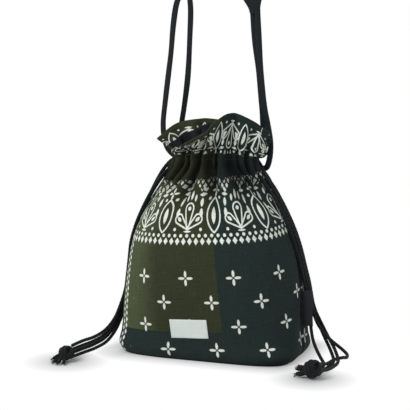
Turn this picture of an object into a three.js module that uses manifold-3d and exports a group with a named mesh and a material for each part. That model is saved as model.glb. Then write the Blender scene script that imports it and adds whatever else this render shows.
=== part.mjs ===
// A drawstring shoulder bag standing on its soft boxed bottom, gathered at the neck.
// Millimetres, +Z up, the front faces -Y, the origin is on the floor under the middle of the bag.
import * as THREE from 'three';
import { mergeVertices } from 'three/addons/utils/BufferGeometryUtils.js';
import Module from 'manifold-3d';

const wasm = await Module();
wasm.setup();

// Driving dimensions
const CLOTH_THICKNESS = 2;
const LINING_THICKNESS = 1;
const CLOTH_GAP = 0.6;
const SEAM_GAP = 0.3;
const SEAM_PLACE = 1;
const LINING_TOP = 262;
const THROAT_WIDTH = 73;
const PLEATS = 12;
const STEPS_PER_PLEAT = 4;
const SMOOTH_STEPS = 24;
const CORD_DIAMETER = 4;
const CORD_SIDES = 8;
const CORD_STEP = 11;
const STRAP_DIAMETER = 6;
const STRAP_SIDES = 8;
const STRAP_STEP = 14;
const CASING_RING = { width: 79.2, depth: 43.2, middle: 1, endAngle: 0.45, turns: 16 };
const CASING_EXIT = [[42.5, 3], [41.6, 3.3], [39.4, 5]];
const CORD_SLOT = { width: 16, bottom: 213, top: 235.5, inner: 38, outer: 70 };
const LABEL = { width: 45, height: 23, thickness: 0.8, centre: [-8, 31], tilt: 4, gap: 0.4 };
const TAG = { length: 10, height: 42, thickness: 1.2, bottom: 40, front: 3, gap: 1.3 };
const BAND = { width: 28, thickness: 5, endWidth: 14, taper: 1.5, stepsPerStation: 2 };
const BAND_CORNER = 0.72;
const BAND_EDGE = 0.22;
const KNOT_DETAIL = { around: 12, section: 8, rod: 10, cap: 2 };
const KNOT_REACH = 4;
const FAR = 400;

// The outer cloth at each height: width, depth, squareness of the corners, middle, depth of the pleats
const LEVELS = [
  { z: 0, width: 212, depth: 116, square: 4, middle: 0, pleat: 0 },
  { z: 6, width: 222, depth: 126, square: 3.8, middle: 0, pleat: 0 },
  { z: 25, width: 226, depth: 136, square: 3.1, middle: 0, pleat: 0 },
  { z: 60, width: 223, depth: 148, square: 2.6, middle: 0, pleat: 0 },
  { z: 100, width: 214, depth: 156, square: 2.35, middle: 0, pleat: 0 },
  { z: 140, width: 199, depth: 152, square: 2.2, middle: 0, pleat: 1 },
  { z: 168, width: 177, depth: 136, square: 2.1, middle: 0, pleat: 4 },
  { z: 190, width: 150, depth: 114, square: 2, middle: 0, pleat: 7 },
  { z: 206, width: 127, depth: 93, square: 2, middle: 1, pleat: 9 },
  { z: 215, width: 116, depth: 81, square: 2, middle: 1, pleat: 10 },
  { z: 226, width: 108, depth: 72, square: 2, middle: 1, pleat: 10 },
  { z: 237, width: 111, depth: 73, square: 2, middle: 1, pleat: 10 },
  { z: 253, width: 122, depth: 78, square: 2, middle: 0, pleat: 9 },
  { z: 276, width: 130, depth: 82, square: 2, middle: -2, pleat: 8 },
];
const RIM = LEVELS[LEVELS.length - 1].z;
const CASING_BOTTOM = 215;
const CASING_TOP = 237;

// Routes of the drawcord strands, from the casing's side opening to the knot on the floor
const CORD_ROUTES = {
  drawcord_right_1: [
    [43.6, -3, 218.4], [52, -4, 218.4], [60.5, -6, 213.5], [69, -7, 203.5], [78.5, -7.5, 190], [88.5, -8, 172.5],
    [97.5, -7, 152], [104, -4, 130], [108.5, 0, 108], [112, 4, 88], [115, 7, 68], [118.5, 6, 50],
    [122, -1, 35], [127, -9, 24], [133, -15, 15], [139.5, -20, 7], [145, -26, 2.6], [148, -40, 2.2],
    [148, -58, 5.5], [149.5, -77, 8.5],
  ],
  drawcord_right_2: [
    [43.6, -3, 227.6], [52, -3, 227.4], [62, -1.5, 219.5], [70.5, -2, 206.5], [79.5, -2.5, 190.5],
    [89.5, -2.5, 172], [98.5, -1.5, 152], [105, 1, 131], [109.5, 5, 108], [113, 9.5, 88], [116.5, 13, 68],
    [121, 13, 51], [128, 9, 39], [137, 6, 29], [147, 5, 21], [157, 7, 13], [164.5, 5, 7.5],
    [167, -4, 6], [165, -15, 8.2], [159, -27, 8.6], [153.5, -42, 6.8], [151.5, -58, 10.5], [151, -77, 14],
  ],
  drawcord_right_3: [
    [43.6, 3, 227.6], [52, 3.5, 227.4], [62, 3.5, 219.5], [71, 3, 206], [80, 2.5, 190], [89.8, 2.8, 171.5],
    [98.5, 3.8, 152], [105, 6.5, 131], [109.5, 11, 108], [113, 15.5, 88], [116.5, 19.5, 68], [121.5, 20.5, 52],
    [129.5, 18.5, 38], [138.5, 14.5, 24.5], [147.5, 9, 13], [154.5, 0, 4.5], [159, -14, 2.2], [160, -34, 2.2],
    [157.5, -56, 3.5], [154.5, -77, 8],
  ],
  drawcord_right_4: [
    [43.6, 3, 218.4], [52, 5.5, 218.4], [61.5, 8, 214], [70.5, 8.5, 204], [79.5, 8, 190], [89.5, 8.3, 171.5],
    [98, 9.5, 152], [104.5, 12, 131], [109, 16.5, 108], [112.5, 21.5, 88], [115, 25.5, 68], [118.5, 26, 51],
    [125, 22, 37], [133, 17, 23.5], [141.5, 10.5, 12], [148.5, 1, 4.2], [153.5, -13, 2.2], [154.5, -34, 2.2],
    [153, -56, 2.4], [152, -77, 2.8],
  ],
  drawcord_left_1: [
    [-43.6, -3, 223], [-52, -5, 222.6], [-60, -10, 216.5], [-68, -15, 205.5], [-76.5, -18.5, 190.5],
    [-86.5, -19.5, 171], [-96, -17, 151], [-104, -13, 129], [-108.2, -9.5, 107], [-111.2, -8, 87],
    [-113.5, -9.5, 68], [-117, -15.5, 51], [-121, -26, 34.5], [-126, -43, 23.5], [-132, -64, 19], [-138, -84, 18.5],
    [-142.5, -106, 17.5],
  ],
  drawcord_left_2: [
    [-43.6, -3, 232.2], [-52, -4, 231.8], [-61.5, -6, 222.5], [-70, -9.5, 208], [-78, -13, 190.5],
    [-88, -14, 170.5], [-97.4, -11.5, 150.5], [-104.5, -7.5, 129], [-108.6, -4, 107], [-111.5, -2.5, 87],
    [-115, -4, 67], [-118.5, -10, 48], [-122.5, -21.5, 29.5], [-127.5, -40, 17.5], [-133, -62, 13.5],
    [-138, -83, 13], [-142.5, -106, 12.8],
  ],
  drawcord_left_3: [
    [-43.6, 3, 232.2], [-52, 3, 231.8], [-62.5, 1.5, 223], [-71.5, -3, 208], [-79.5, -7.5, 190.5],
    [-89, -8.5, 170.5], [-97.5, -6, 150.5], [-104.5, -2, 129], [-108.5, 1.5, 107], [-112, 3, 87],
    [-115.5, 1.5, 66], [-119.5, -4.5, 45], [-123.5, -17, 25], [-128.5, -37, 12.5], [-134, -60, 8.6],
    [-139, -82, 8.2], [-143.5, -106, 8.3],
  ],
  drawcord_left_4: [
    [-43.6, 3, 223], [-52, 5.5, 222.6], [-61.5, 5.5, 217], [-70.5, 2, 206], [-80, -2, 190], [-90, -3, 170.5],
    [-98.5, -0.5, 150.5], [-105, 3.5, 129], [-109.5, 7, 107], [-112.5, 9, 87], [-116, 8, 65], [-120, 2, 42],
    [-124, -11, 20], [-129, -30, 6.5], [-134.5, -54, 2.6], [-139.5, -78, 2.6], [-143.5, -106, 3.4],
  ],
};

// Routes of the shoulder strap's strands, from the neck up to the wide band
const STRAP_ROUTES = {
  strap_left_front: [
    [-52.5, 19, 231], [-59, 18.5, 233], [-68, 19.5, 241], [-73.5, 21.5, 255], [-75, 22, 270], [-71.5, 21, 300],
    [-67, 19, 329], [-62.5, 17, 358], [-58.5, 15, 392], [-54, 14.5, 417], [-47.6, 16.4, 433.4],
  ],
  strap_left_back: [
    [-47, 26, 238], [-51.5, 32, 241], [-58.5, 40.5, 250], [-60, 46, 268], [-55.5, 43, 290], [-47.5, 34.5, 328],
    [-42, 27, 377], [-39, 21.5, 412], [-40.6, 19, 433.2],
  ],
  strap_right_front: [
    [55.5, 16, 223], [60.5, 13.5, 225], [64.5, 12.5, 237], [64.5, 15.5, 254], [60.5, 20.5, 270], [55.5, 17, 299],
    [52.5, 14.5, 335], [50, 14, 370], [48, 14.2, 405.6],
  ],
  strap_right_back: [
    [51, 26, 237], [54, 31, 242], [52.5, 37.5, 253], [47.5, 39.5, 268], [48, 32.5, 292], [47, 23.5, 334],
    [43.6, 19, 370], [41.2, 16.6, 405.4],
  ],
};

// The band's middle line, from its right end over the top to its left end, with the turn of its width
const BAND_STATIONS = [
  { at: [44.6, 15.4, 406.6], turn: 20 }, { at: [42.5, 15.5, 419], turn: 20 }, { at: [39.5, 15.8, 433], turn: 26 },
  { at: [34.5, 16.4, 451], turn: 42 }, { at: [26, 17.2, 468], turn: 60 }, { at: [13, 18, 482], turn: 78 },
  { at: [-3, 18.3, 488], turn: 90 }, { at: [-19, 18.2, 483.5], turn: 102 }, { at: [-31, 18, 472], turn: 120 },
  { at: [-39, 17.8, 457], turn: 150 }, { at: [-43, 17.7, 445], turn: 180 }, { at: [-44.1, 17.7, 434.4], turn: 196 },
];

const KNOTS = {
  knot_right: {
    centre: [149.5, -87.2, 12], heading: [0, -1, 0], wrapRadius: 6.4, bundleRadius: 5.2,
    tails: [[128, -81, 7], [124, -74, 7], [134, -94, 5]],
  },
  knot_left: {
    centre: [-145.6, -115.2, 10.5], heading: [-0.15, -1, 0], wrapRadius: 5.2, bundleRadius: 4.6,
    tails: [[-158, -131, 4], [-149, -136, 4], [-141, -132, 4]],
  },
};

const CASING_HEIGHTS = {
  casing_cord_1: { z: 218.4, side: 1 },
  casing_cord_2: { z: 223, side: -1 },
  casing_cord_3: { z: 227.6, side: 1 },
  casing_cord_4: { z: 232.2, side: -1 },
};

// Materials
function cloth(color, roughness = 0.9) {
  return new THREE.MeshStandardMaterial({ color, roughness, metalness: 0 });
}
const OLIVE_CLOTH = cloth(0x3e4228);
const TEAL_CLOTH = cloth(0x263436);
const NAVY_LINING = cloth(0x191b22, 0.8);
const BLACK_CORD = cloth(0x17191a, 0.75);
const BLACK_WEBBING = cloth(0x23282d, 0.8);
const LABEL_CLOTH = cloth(0xe1ebe6, 0.85);
const TAG_CLOTH = cloth(0x2a2d31, 0.85);

const bag = new THREE.Group();

function addPiece(name, geometry, material) {
  const mesh = new THREE.Mesh(geometry, material);
  mesh.name = name;
  bag.add(mesh);
  return mesh;
}

// Closed meshes and solids
function closedMesh(positions, indices) {
  const geometry = new THREE.BufferGeometry();
  geometry.setAttribute('position', new THREE.Float32BufferAttribute(positions.flat(), 3));
  geometry.setIndex(indices.flat());
  return geometry;
}

function loft(rings) {
  const count = rings[0].length;
  const positions = rings.flat();
  const indices = [];
  for (let r = 0; r < rings.length - 1; r += 1) {
    for (let k = 0; k < count; k += 1) {
      const next = (k + 1) % count;
      const a = r * count + k;
      const b = r * count + next;
      indices.push([a, b, b + count], [a, b + count, a + count]);
    }
  }
  const last = (rings.length - 1) * count;
  const bottomMiddle = positions.length;
  positions.push(middleOf(rings[0]), middleOf(rings[rings.length - 1]));
  for (let k = 0; k < count; k += 1) {
    const next = (k + 1) % count;
    indices.push([bottomMiddle, next, k], [bottomMiddle + 1, last + k, last + next]);
  }
  return closedMesh(positions, indices);
}

function middleOf(ring) {
  const sum = ring.reduce((total, p) => total.map((v, i) => v + p[i]), [0, 0, 0]);
  return sum.map((v) => v / ring.length);
}

function toSolid(geometry) {
  const bare = geometry.clone();
  bare.deleteAttribute('normal');
  bare.deleteAttribute('uv');
  const merged = mergeVertices(bare, 1e-4);
  return new wasm.Manifold(new wasm.Mesh({
    numProp: 3,
    vertProperties: new Float32Array(merged.attributes.position.array),
    triVerts: new Uint32Array(merged.index.array),
  }));
}

function toGeometry(solid) {
  const mesh = solid.getMesh();
  const geometry = new THREE.BufferGeometry();
  geometry.setAttribute('position', new THREE.Float32BufferAttribute(mesh.vertProperties, 3));
  geometry.setIndex(new THREE.Uint32BufferAttribute(mesh.triVerts, 1));
  return geometry;
}

function box(low, high) {
  const size = high.map((v, i) => v - low[i]);
  const geometry = new THREE.BoxGeometry(...size);
  geometry.translate(...high.map((v, i) => (v + low[i]) / 2));
  return toSolid(geometry);
}

// Cross-sections of the bag
function ovalPoint(level, angle) {
  const power = 2 / level.square;
  const c = Math.cos(angle);
  const s = Math.sin(angle);
  return [
    level.middle + level.width / 2 * Math.sign(c) * Math.abs(c) ** power,
    level.depth / 2 * Math.sign(s) * Math.abs(s) ** power,
  ];
}

function evenlySpaced(level, count) {
  const fine = 1440;
  const points = Array.from({ length: fine + 1 }, (_, i) => ovalPoint(level, i / fine * 2 * Math.PI));
  const along = [0];
  for (let i = 1; i <= fine; i += 1) {
    along.push(along[i - 1] + Math.hypot(points[i][0] - points[i - 1][0], points[i][1] - points[i - 1][1]));
  }
  const spaced = [];
  let i = 0;
  for (let k = 0; k < count; k += 1) {
    const want = along[fine] * k / count;
    while (along[i + 1] < want) i += 1;
    const share = (want - along[i]) / (along[i + 1] - along[i]);
    const [ax, ay] = points[i];
    const [bx, by] = points[i + 1];
    const step = Math.hypot(bx - ax, by - ay);
    spaced.push({ x: ax + (bx - ax) * share, y: ay + (by - ay) * share, out: [(by - ay) / step, (ax - bx) / step] });
  }
  return spaced;
}

function smoothRing(level, z, inset) {
  return evenlySpaced(level, SMOOTH_STEPS).map((p) => [p.x - p.out[0] * inset, p.y - p.out[1] * inset, z]);
}

function pleatedRing(level, z, inset) {
  return evenlySpaced(level, PLEATS * STEPS_PER_PLEAT).map((p, k) => {
    const fold = level.pleat / 2 * (1 - Math.cos(2 * Math.PI * k / STEPS_PER_PLEAT));
    return [p.x - p.out[0] * (inset + fold), p.y - p.out[1] * (inset + fold), z];
  });
}

// The outer cloth: one open-topped shell, parted at the side seams and under the bottom
function clothShell() {
  const outer = LEVELS.map((level) => pleatedRing(level, level.z, 0));
  const inner = LEVELS.map((level) => {
    const z = level.z === 0 ? CLOTH_THICKNESS : level.z + (level.z === RIM ? 1 : 0);
    return pleatedRing(level, z, CLOTH_THICKNESS);
  });
  return toSolid(loft(outer)).subtract(toSolid(loft(inner)));
}

function cordSlots() {
  const half = CORD_SLOT.width / 2;
  const right = box([CORD_SLOT.inner, -half, CORD_SLOT.bottom], [CORD_SLOT.outer, half, CORD_SLOT.top]);
  const left = box([-CORD_SLOT.outer, -half, CORD_SLOT.bottom], [-CORD_SLOT.inner, half, CORD_SLOT.top]);
  return right.add(left);
}

function addPanels() {
  const shell = clothShell().subtract(cordSlots());
  const front = shell.intersect(box([-FAR, -FAR, -FAR], [FAR, SEAM_PLACE - SEAM_GAP / 2, FAR]));
  const back = shell.intersect(box([-FAR, SEAM_PLACE + SEAM_GAP / 2, -FAR], [FAR, FAR, FAR]));
  addPiece('front_panel', toGeometry(front), OLIVE_CLOTH);
  addPiece('back_panel', toGeometry(back), TEAL_CLOTH);
}

// The lining hangs smooth inside the pleats and stands clear of the cords in the casing
function liningInset(level) {
  const inCasing = level.z >= CASING_BOTTOM && level.z <= CASING_TOP;
  return inCasing ? (level.width - THROAT_WIDTH) / 2 : CLOTH_THICKNESS + CLOTH_GAP + level.pleat;
}

function levelAt(z) {
  const above = LEVELS.findIndex((level) => level.z >= z);
  const a = LEVELS[above - 1];
  const b = LEVELS[above];
  const share = (z - a.z) / (b.z - a.z);
  const mixed = {};
  Object.keys(a).forEach((key) => { mixed[key] = a[key] + (b[key] - a[key]) * share; });
  return mixed;
}

function addLining() {
  const floor = CLOTH_THICKNESS + CLOTH_GAP;
  const levels = LEVELS.filter((level) => level.z < LINING_TOP);
  levels.push(levelAt(LINING_TOP));
  const rings = (extraInset, bottom, raise) => levels.map((level) => {
    const z = level.z === 0 ? bottom : level.z + (level.z === LINING_TOP ? raise : 0);
    return smoothRing(level, z, liningInset(level) + extraInset);
  });
  const outer = toSolid(loft(rings(0, floor, 0)));
  const inner = toSolid(loft(rings(LINING_THICKNESS, floor + LINING_THICKNESS, 1)));
  addPiece('lining', toGeometry(outer.subtract(inner)), NAVY_LINING);
}

// Cords and strap strands
function vectors(points) {
  return points.map((p) => new THREE.Vector3(...p));
}

function tube(points, diameter, sides, stepLength) {
  const curve = new THREE.CatmullRomCurve3(vectors(points), false, 'centripetal');
  const section = new THREE.Shape();
  for (let k = 0; k < sides; k += 1) {
    const angle = (k + 0.5) / sides * 2 * Math.PI;
    const place = [diameter / 2 * Math.cos(angle), diameter / 2 * Math.sin(angle)];
    if (k === 0) section.moveTo(...place);
    else section.lineTo(...place);
  }
  section.closePath();
  return new THREE.ExtrudeGeometry(section, {
    steps: Math.round(curve.getLength() / stepLength),
    extrudePath: curve,
  });
}

function addCords() {
  Object.entries(CORD_ROUTES).forEach(([name, route]) => {
    addPiece(name, tube(route, CORD_DIAMETER, CORD_SIDES, CORD_STEP), BLACK_CORD);
  });
  Object.entries(STRAP_ROUTES).forEach(([name, route]) => {
    addPiece(name, tube(route, STRAP_DIAMETER, STRAP_SIDES, STRAP_STEP), BLACK_WEBBING);
  });
}

// Each hidden cord runs once round the neck and turns out at its own side
function addCasingCords() {
  const { endAngle, turns } = CASING_RING;
  Object.entries(CASING_HEIGHTS).forEach(([name, { z, side }]) => {
    const start = CASING_EXIT.map(([x, y]) => [side * x, y, z]);
    const finish = start.map(([x, y, height]) => [x, -y, height]).reverse();
    const round = [];
    for (let k = 0; k <= turns; k += 1) {
      const angle = endAngle + (2 * Math.PI - 2 * endAngle) * k / turns;
      const x = side * CASING_RING.width / 2 * Math.cos(angle) + CASING_RING.middle;
      round.push([x, CASING_RING.depth / 2 * Math.sin(angle), z]);
    }
    addPiece(name, tube([...start, ...round, ...finish], CORD_DIAMETER, CORD_SIDES, CORD_STEP), BLACK_CORD);
  });
}

// The shoulder band: a flat padded strip that turns from facing the front to lying over the top
function bandRing(at, tangent, turn, width, thickness) {
  const across = new THREE.Vector3(Math.cos(turn), Math.sin(turn), 0);
  across.addScaledVector(tangent, -across.dot(tangent)).normalize();
  const through = new THREE.Vector3().crossVectors(tangent, across);
  const outline = [[1, BAND_EDGE], [BAND_CORNER, 1], [-BAND_CORNER, 1], [-1, BAND_EDGE],
    [-1, -BAND_EDGE], [-BAND_CORNER, -1], [BAND_CORNER, -1], [1, -BAND_EDGE]];
  return outline.map(([u, v]) => {
    const p = at.clone().addScaledVector(across, u * width / 2).addScaledVector(through, v * thickness / 2);
    return p.toArray();
  });
}

function addBand() {
  const curve = new THREE.CatmullRomCurve3(vectors(BAND_STATIONS.map((s) => s.at)));
  const last = BAND_STATIONS.length - 1;
  const rings = [];
  for (let k = 0; k <= last * BAND.stepsPerStation; k += 1) {
    const t = k / BAND.stepsPerStation;
    const i = Math.min(Math.floor(t), last - 1);
    const turn = THREE.MathUtils.lerp(BAND_STATIONS[i].turn, BAND_STATIONS[i + 1].turn, t - i);
    const fromEnd = Math.min(t, last - t);
    const width = THREE.MathUtils.lerp(BAND.endWidth, BAND.width, Math.min(fromEnd / BAND.taper, 1));
    const share = t / last;
    rings.push(bandRing(curve.getPoint(share), curve.getTangent(share), THREE.MathUtils.degToRad(turn),
      width, BAND.thickness));
  }
  addPiece('shoulder_band', loft(rings), BLACK_WEBBING);
}

// Knots: a wrap round the bundle of strands, the bundle through it, and the tails
function rod(from, to, radius) {
  const a = new THREE.Vector3(...from);
  const b = new THREE.Vector3(...to);
  const geometry = new THREE.CapsuleGeometry(radius, a.distanceTo(b), KNOT_DETAIL.cap, KNOT_DETAIL.rod);
  const turn = new THREE.Quaternion().setFromUnitVectors(new THREE.Vector3(0, 1, 0), b.clone().sub(a).normalize());
  geometry.applyQuaternion(turn);
  geometry.translate(...a.add(b).multiplyScalar(0.5).toArray());
  return toSolid(geometry);
}

function knotSolid({ centre, heading, wrapRadius, bundleRadius, tails }) {
  const wrap = new THREE.TorusGeometry(wrapRadius, bundleRadius, KNOT_DETAIL.section, KNOT_DETAIL.around);
  const direction = new THREE.Vector3(...heading).normalize();
  wrap.applyQuaternion(new THREE.Quaternion().setFromUnitVectors(new THREE.Vector3(0, 0, 1), direction));
  wrap.translate(...centre);
  const start = direction.clone().multiplyScalar(-KNOT_REACH).add(new THREE.Vector3(...centre));
  const end = direction.clone().multiplyScalar(KNOT_REACH).add(new THREE.Vector3(...centre));
  let solid = toSolid(wrap).add(rod(start.toArray(), end.toArray(), bundleRadius));
  tails.forEach((tip) => {
    solid = solid.add(rod(centre, tip, CORD_DIAMETER / 2));
  });
  return solid;
}

function addKnots() {
  Object.entries(KNOTS).forEach(([name, knot]) => {
    addPiece(name, toGeometry(knotSolid(knot)), BLACK_CORD);
  });
}

// Small sewn pieces
function outerPoint(x, z) {
  const level = levelAt(z);
  const reach = 1 - Math.abs((x - level.middle) / (level.width / 2)) ** level.square;
  return new THREE.Vector3(x, -level.depth / 2 * reach ** (1 / level.square), z);
}

function addLabel() {
  const columns = 8;
  const rows = 2;
  const tilt = THREE.MathUtils.degToRad(LABEL.tilt);
  const rings = [];
  for (let c = 0; c <= columns; c += 1) {
    const front = [];
    const behind = [];
    for (let r = 0; r <= rows; r += 1) {
      const u = (0.5 - c / columns) * LABEL.width;
      const v = (r / rows - 0.5) * LABEL.height;
      const x = LABEL.centre[0] + u * Math.cos(tilt) - v * Math.sin(tilt);
      const z = LABEL.centre[1] + v * Math.cos(tilt) + u * Math.sin(tilt);
      const p = outerPoint(x, z);
      front.push([p.x, p.y - LABEL.gap - LABEL.thickness, p.z]);
      behind.unshift([p.x, p.y - LABEL.gap, p.z]);
    }
    rings.push([...front, ...behind]);
  }
  addPiece('front_label', loft(rings), LABEL_CLOTH);
}

function addTag() {
  const seam = Math.max(...LEVELS.slice(2, 4).map((level) => level.width)) / 2;
  const tag = new THREE.BoxGeometry(TAG.length, TAG.thickness, TAG.height);
  const mesh = addPiece('side_tag', tag, TAG_CLOTH);
  mesh.position.set(seam + TAG.gap + TAG.length / 2, -TAG.front, TAG.bottom + TAG.height / 2);
}

addPanels();
addLining();
addCasingCords();
addCords();
addBand();
addKnots();
addLabel();
addTag();

export default bag;
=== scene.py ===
# A drawstring shoulder bag in printed cotton, gathered at the neck, standing on its soft boxed bottom.
# Metres unless a heading says millimetres, +Z up, the front faces -Y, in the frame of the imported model.
import math

import bpy
import numpy as np
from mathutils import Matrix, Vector


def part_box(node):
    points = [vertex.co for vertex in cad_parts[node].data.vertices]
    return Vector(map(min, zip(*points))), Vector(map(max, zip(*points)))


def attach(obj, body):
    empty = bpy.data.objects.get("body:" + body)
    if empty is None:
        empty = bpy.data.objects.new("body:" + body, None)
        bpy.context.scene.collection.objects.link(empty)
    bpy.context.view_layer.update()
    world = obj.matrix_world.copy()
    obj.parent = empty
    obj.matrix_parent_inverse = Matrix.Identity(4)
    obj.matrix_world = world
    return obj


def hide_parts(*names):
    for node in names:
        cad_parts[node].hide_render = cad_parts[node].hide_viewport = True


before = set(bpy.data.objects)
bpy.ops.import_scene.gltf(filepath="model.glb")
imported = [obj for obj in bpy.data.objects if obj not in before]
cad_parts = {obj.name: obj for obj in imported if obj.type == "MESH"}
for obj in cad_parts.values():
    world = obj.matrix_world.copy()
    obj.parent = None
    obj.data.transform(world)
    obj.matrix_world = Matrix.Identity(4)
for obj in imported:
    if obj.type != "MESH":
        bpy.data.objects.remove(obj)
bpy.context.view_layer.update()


def metres(rows):
    """Rows of millimetres as rows of metres."""
    return [tuple(value / 1000 for value in row) for row in rows]


# The photograph's camera
PHOTO_YAW = math.radians(20)
PHOTO_ELEVATION = math.radians(10)
PHOTO_DISTANCE = 2.0
PHOTO_TARGET = Vector((-0.0113, -0.0041, 0.178))
PHOTO_SIZE = 410
METRES_PER_PIXEL = 0.0012
SENSOR_WIDTH = 36.0

# The lights: place, size and power, with their aim and the strength of the backdrop's light
LIGHTS = {
    "key": ((-0.9, -1.5, 1.5), 0.9, 24),
    "fill": ((1.4, -1.2, 0.9), 1.2, 5),
}
LIGHT_AIM = Vector((0, 0, 0.15))
WORLD_LIGHT = 0.5

# The floor, whose shadow reaches past the bag's foot and the knots and fades out
FLOOR_RADIUS = 3.0
FLOOR_SIDES = 48
FOOTPRINT = (0.096, 0.052)
KNOT_SHADOW = 0.012
SHADOW_REACH = 0.040

# The bag's cloth, laid out in columns round the bag, from the left seam over the front, and in rows upward
ROUND = 0.606
COLUMNS = 400
BOTTOM_ROWS = 14
BOTTOM_LIFT = 0.0002
FOOT_ROWS = 6
FOOT_HEIGHT = 0.006
BODY_ROWS = 112
RUFFLE_ROWS = 34
RUFFLE = 0.058
RUFFLE_SHARES = np.arange(1, RUFFLE_ROWS + 1) / RUFFLE_ROWS
CLOTH = 0.0011
CASING_BOTTOM = 0.2150
CASING_TOP = 0.2370
PRINT_TILT = math.radians(3.6)
SEAM_DEPTH = 0.0011
SEAM_WIDTH = 0.0022

# The gaps in the side seams where the cords come out
SLOT_BOTTOM = 0.2130
SLOT_TOP = 0.2360
SLOT_REACH = 0.016
CORD_SLOT_HALF = 0.0060

# The hems of the rim and the slits: width, extra thickness, and the stitching of the hem and the casing
HEM_WIDTH = 0.0080
HEM_EXTRA = 0.0009
SLIT_HEM_WIDTH = 0.0070
SLIT_HEM_EXTRA = 0.0007
HEM_SEAM = 0.0068
CASING_SEAMS = (-0.0245, 0.0005)

# The lining: its inset and what the neck adds, its clearance of the folds, and its part in the ruffle
LINING = 0.0007
LINING_COLUMNS = 241
LINING_ROWS = 60
LINING_BOTTOM = 0.0018
LINING_FOOT = 0.008
LINING_TOP = 0.2420
LINING_NECK = (0.165, 0.222)
LINING_FLARE = 0.004
LINING_FLOOR = (0.02, 0.35, 0.7)
LINING_PITCH = 0.004
LINING_INSET = 0.0036
LINING_GATHER = 0.0146
LINING_WAVE_DEPTH = 0.0016
LINING_CLEAR = 0.0045
FACING_ROWS = 16
FACING_GAP = 0.0003

# Uneven waves round the bag: the short and the long wave's length for each radian, and the sway
PUCKER_WAVE = (0.0035, 0.021, 2.2)
FLUTTER_WAVE = (0.0115, 0.031, 1.3)
LINING_WAVE = (0.0062, 0.03, 2)

# The small gathers by the casing's seams, and the flutter of the rim
PUCKER = 0.0005
PUCKER_REACH = 0.004
FLUTTER = 0.0016

# How the ruffle leaves the casing and arrives at the rim, and its bulge behind the right slit
RUFFLE_OUT = 0.70
RUFFLE_UP = 0.85
RUFFLE_ARRIVAL = 1.15
RUFFLE_FLARE = 0.18
BULGE_PLACE = ROUND / 4 + 0.020
BULGE_WIDTH = 0.030
BULGE_OUT = 1.5
BULGE_DROP = 1.2

# The label, the side tag and their stitches
LABEL_WIDTH = 0.0455
LABEL_HEIGHT = 0.0235
LABEL_CENTRE = (-0.0070, 0.0440)
LABEL_TILT = math.radians(3.7)
LABEL_LIFT = 0.0009
LABEL_ROWS = 19
LABEL_COLUMNS = 33
TAG_LENGTH = 0.0125
TAG_SEWN = 0.002
TAG_HALF = 0.0009
STITCH_SIDES = 6

# A stitch's rings: share of its length, and thickness as a share of the thread's
STITCH_RINGS = ((0, 0.25), (0.2, 1), (0.8, 1), (1, 0.25))

# The side tag seen from above: share of its length, and distance from its middle in half thicknesses
TAG_PROFILE = [(0, -1), (0.35, -1.3), (0.75, -1.4), (0.93, -1), (1, 0),
               (0.93, 1), (0.75, 1.4), (0.35, 1.3), (0, 1)]

# The straps and the band
STRAP_WIDTH = 0.0068
STRAP_DEPTH = 0.0034
STRAP_TUCK = 0.0045
STRAP_STEP = 0.0015
STRIP_SIDES = 28
STRIP_ROUNDING = (0.5, 0.62)
STRIP_CHANNEL = 0.16
STRIP_CHANNEL_PLACE = 0.78
STRIP_CHANNEL_WIDTH = 0.09
BAND_WIDTH = 0.028
BAND_END_WIDTH = 0.013
BAND_DEPTH = 0.0044
BAND_ROWS = 160

# The cords' braid, and the yarns of their cut ends
CORD_DIAMETER = 0.004
CORD_SIDES = 16
CORD_STEP = 0.0009
CORD_END = 0.6
BRAID_STRANDS = 4
BRAID_PITCH = 0.0046
BRAID_LOW = 0.90
BRAID_RISE = 0.15
YARNS = 12
YARN_SIDES = 5
YARN_SPREAD = 0.28
YARN_LENGTH = (0.003, 0.0055)
YARN_RADIUS = 0.0004
YARN_FLOOR = 0.0008
FRAY_SEED = 11

# The knots: wraps and tails with widths as shares of a strand, and a core as shares of the knot's radius
WRAP_TURNS = 1.10
WRAP_STEPS = 14
WRAP_PITCH = 0.30
WRAP_CLOSING = 0.16
WRAP_LIFT = 0.0004
CORE_RADIUS = 0.72
CORE_FRONT = 0.55
CORE_TAPER = 0.35
TAIL_RADIUS = 0.48
TAIL_START = 0.002
TAIL_RISE = 0.001

# The cords inside the casing: height, and the side where each comes out
CASING_CORDS = {
    "casing_cord_1": (0.2184, 1),
    "casing_cord_2": (0.2230, -1),
    "casing_cord_3": (0.2276, 1),
    "casing_cord_4": (0.2322, -1),
}

# Their ring round the neck: half width and half depth, shift, the angle of its ends, and the way out
CASING_RING = (0.0396, 0.0216)
CASING_SHIFT = 0.001
CASING_END = 0.45
CASING_EXIT = ((0.0425, 0.003), (0.0416, 0.0033), (0.0394, 0.005))

# Points used to measure a smooth path and the bag's outline
PATH_POINTS = 1200
OVAL_POINTS = 1440

# Plain cloths: dark and light colour, roughness, sheen, pitch of the weave in millimetres, depth of the bump
PLAIN_CLOTHS = {
    "navy_lining": ((13, 15, 20), (26, 29, 36), 0.6, 0.03, 0.7, 0.0001),
    "strap_cloth": ((21, 25, 27), (37, 42, 45), 0.72, 0.05, 0.9, 0.0002),
    "label_cloth": ((206, 215, 210), (230, 237, 233), 0.75, 0.1, 0.7, 0.0001),
    "tag_cloth": ((30, 32, 35), (52, 55, 58), 0.7, 0.1, 0.8, 0.00015),
}
SPECULAR = 0.1
SHEEN_ROUGHNESS = 0.45
SLUB_ACROSS = 1.3
SLUB_ALONG = 0.05
COTTON_WEAVE = 0.9
COTTON_DARKEST = 0.3
# Painted shade: how much the gathers and the foot darken the cotton
COTTON_PAINTED_SHADE = -0.8
COTTON_SLUB_BUMP = 0.0003
COTTON_WEAVE_BUMP = 0.00012

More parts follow.
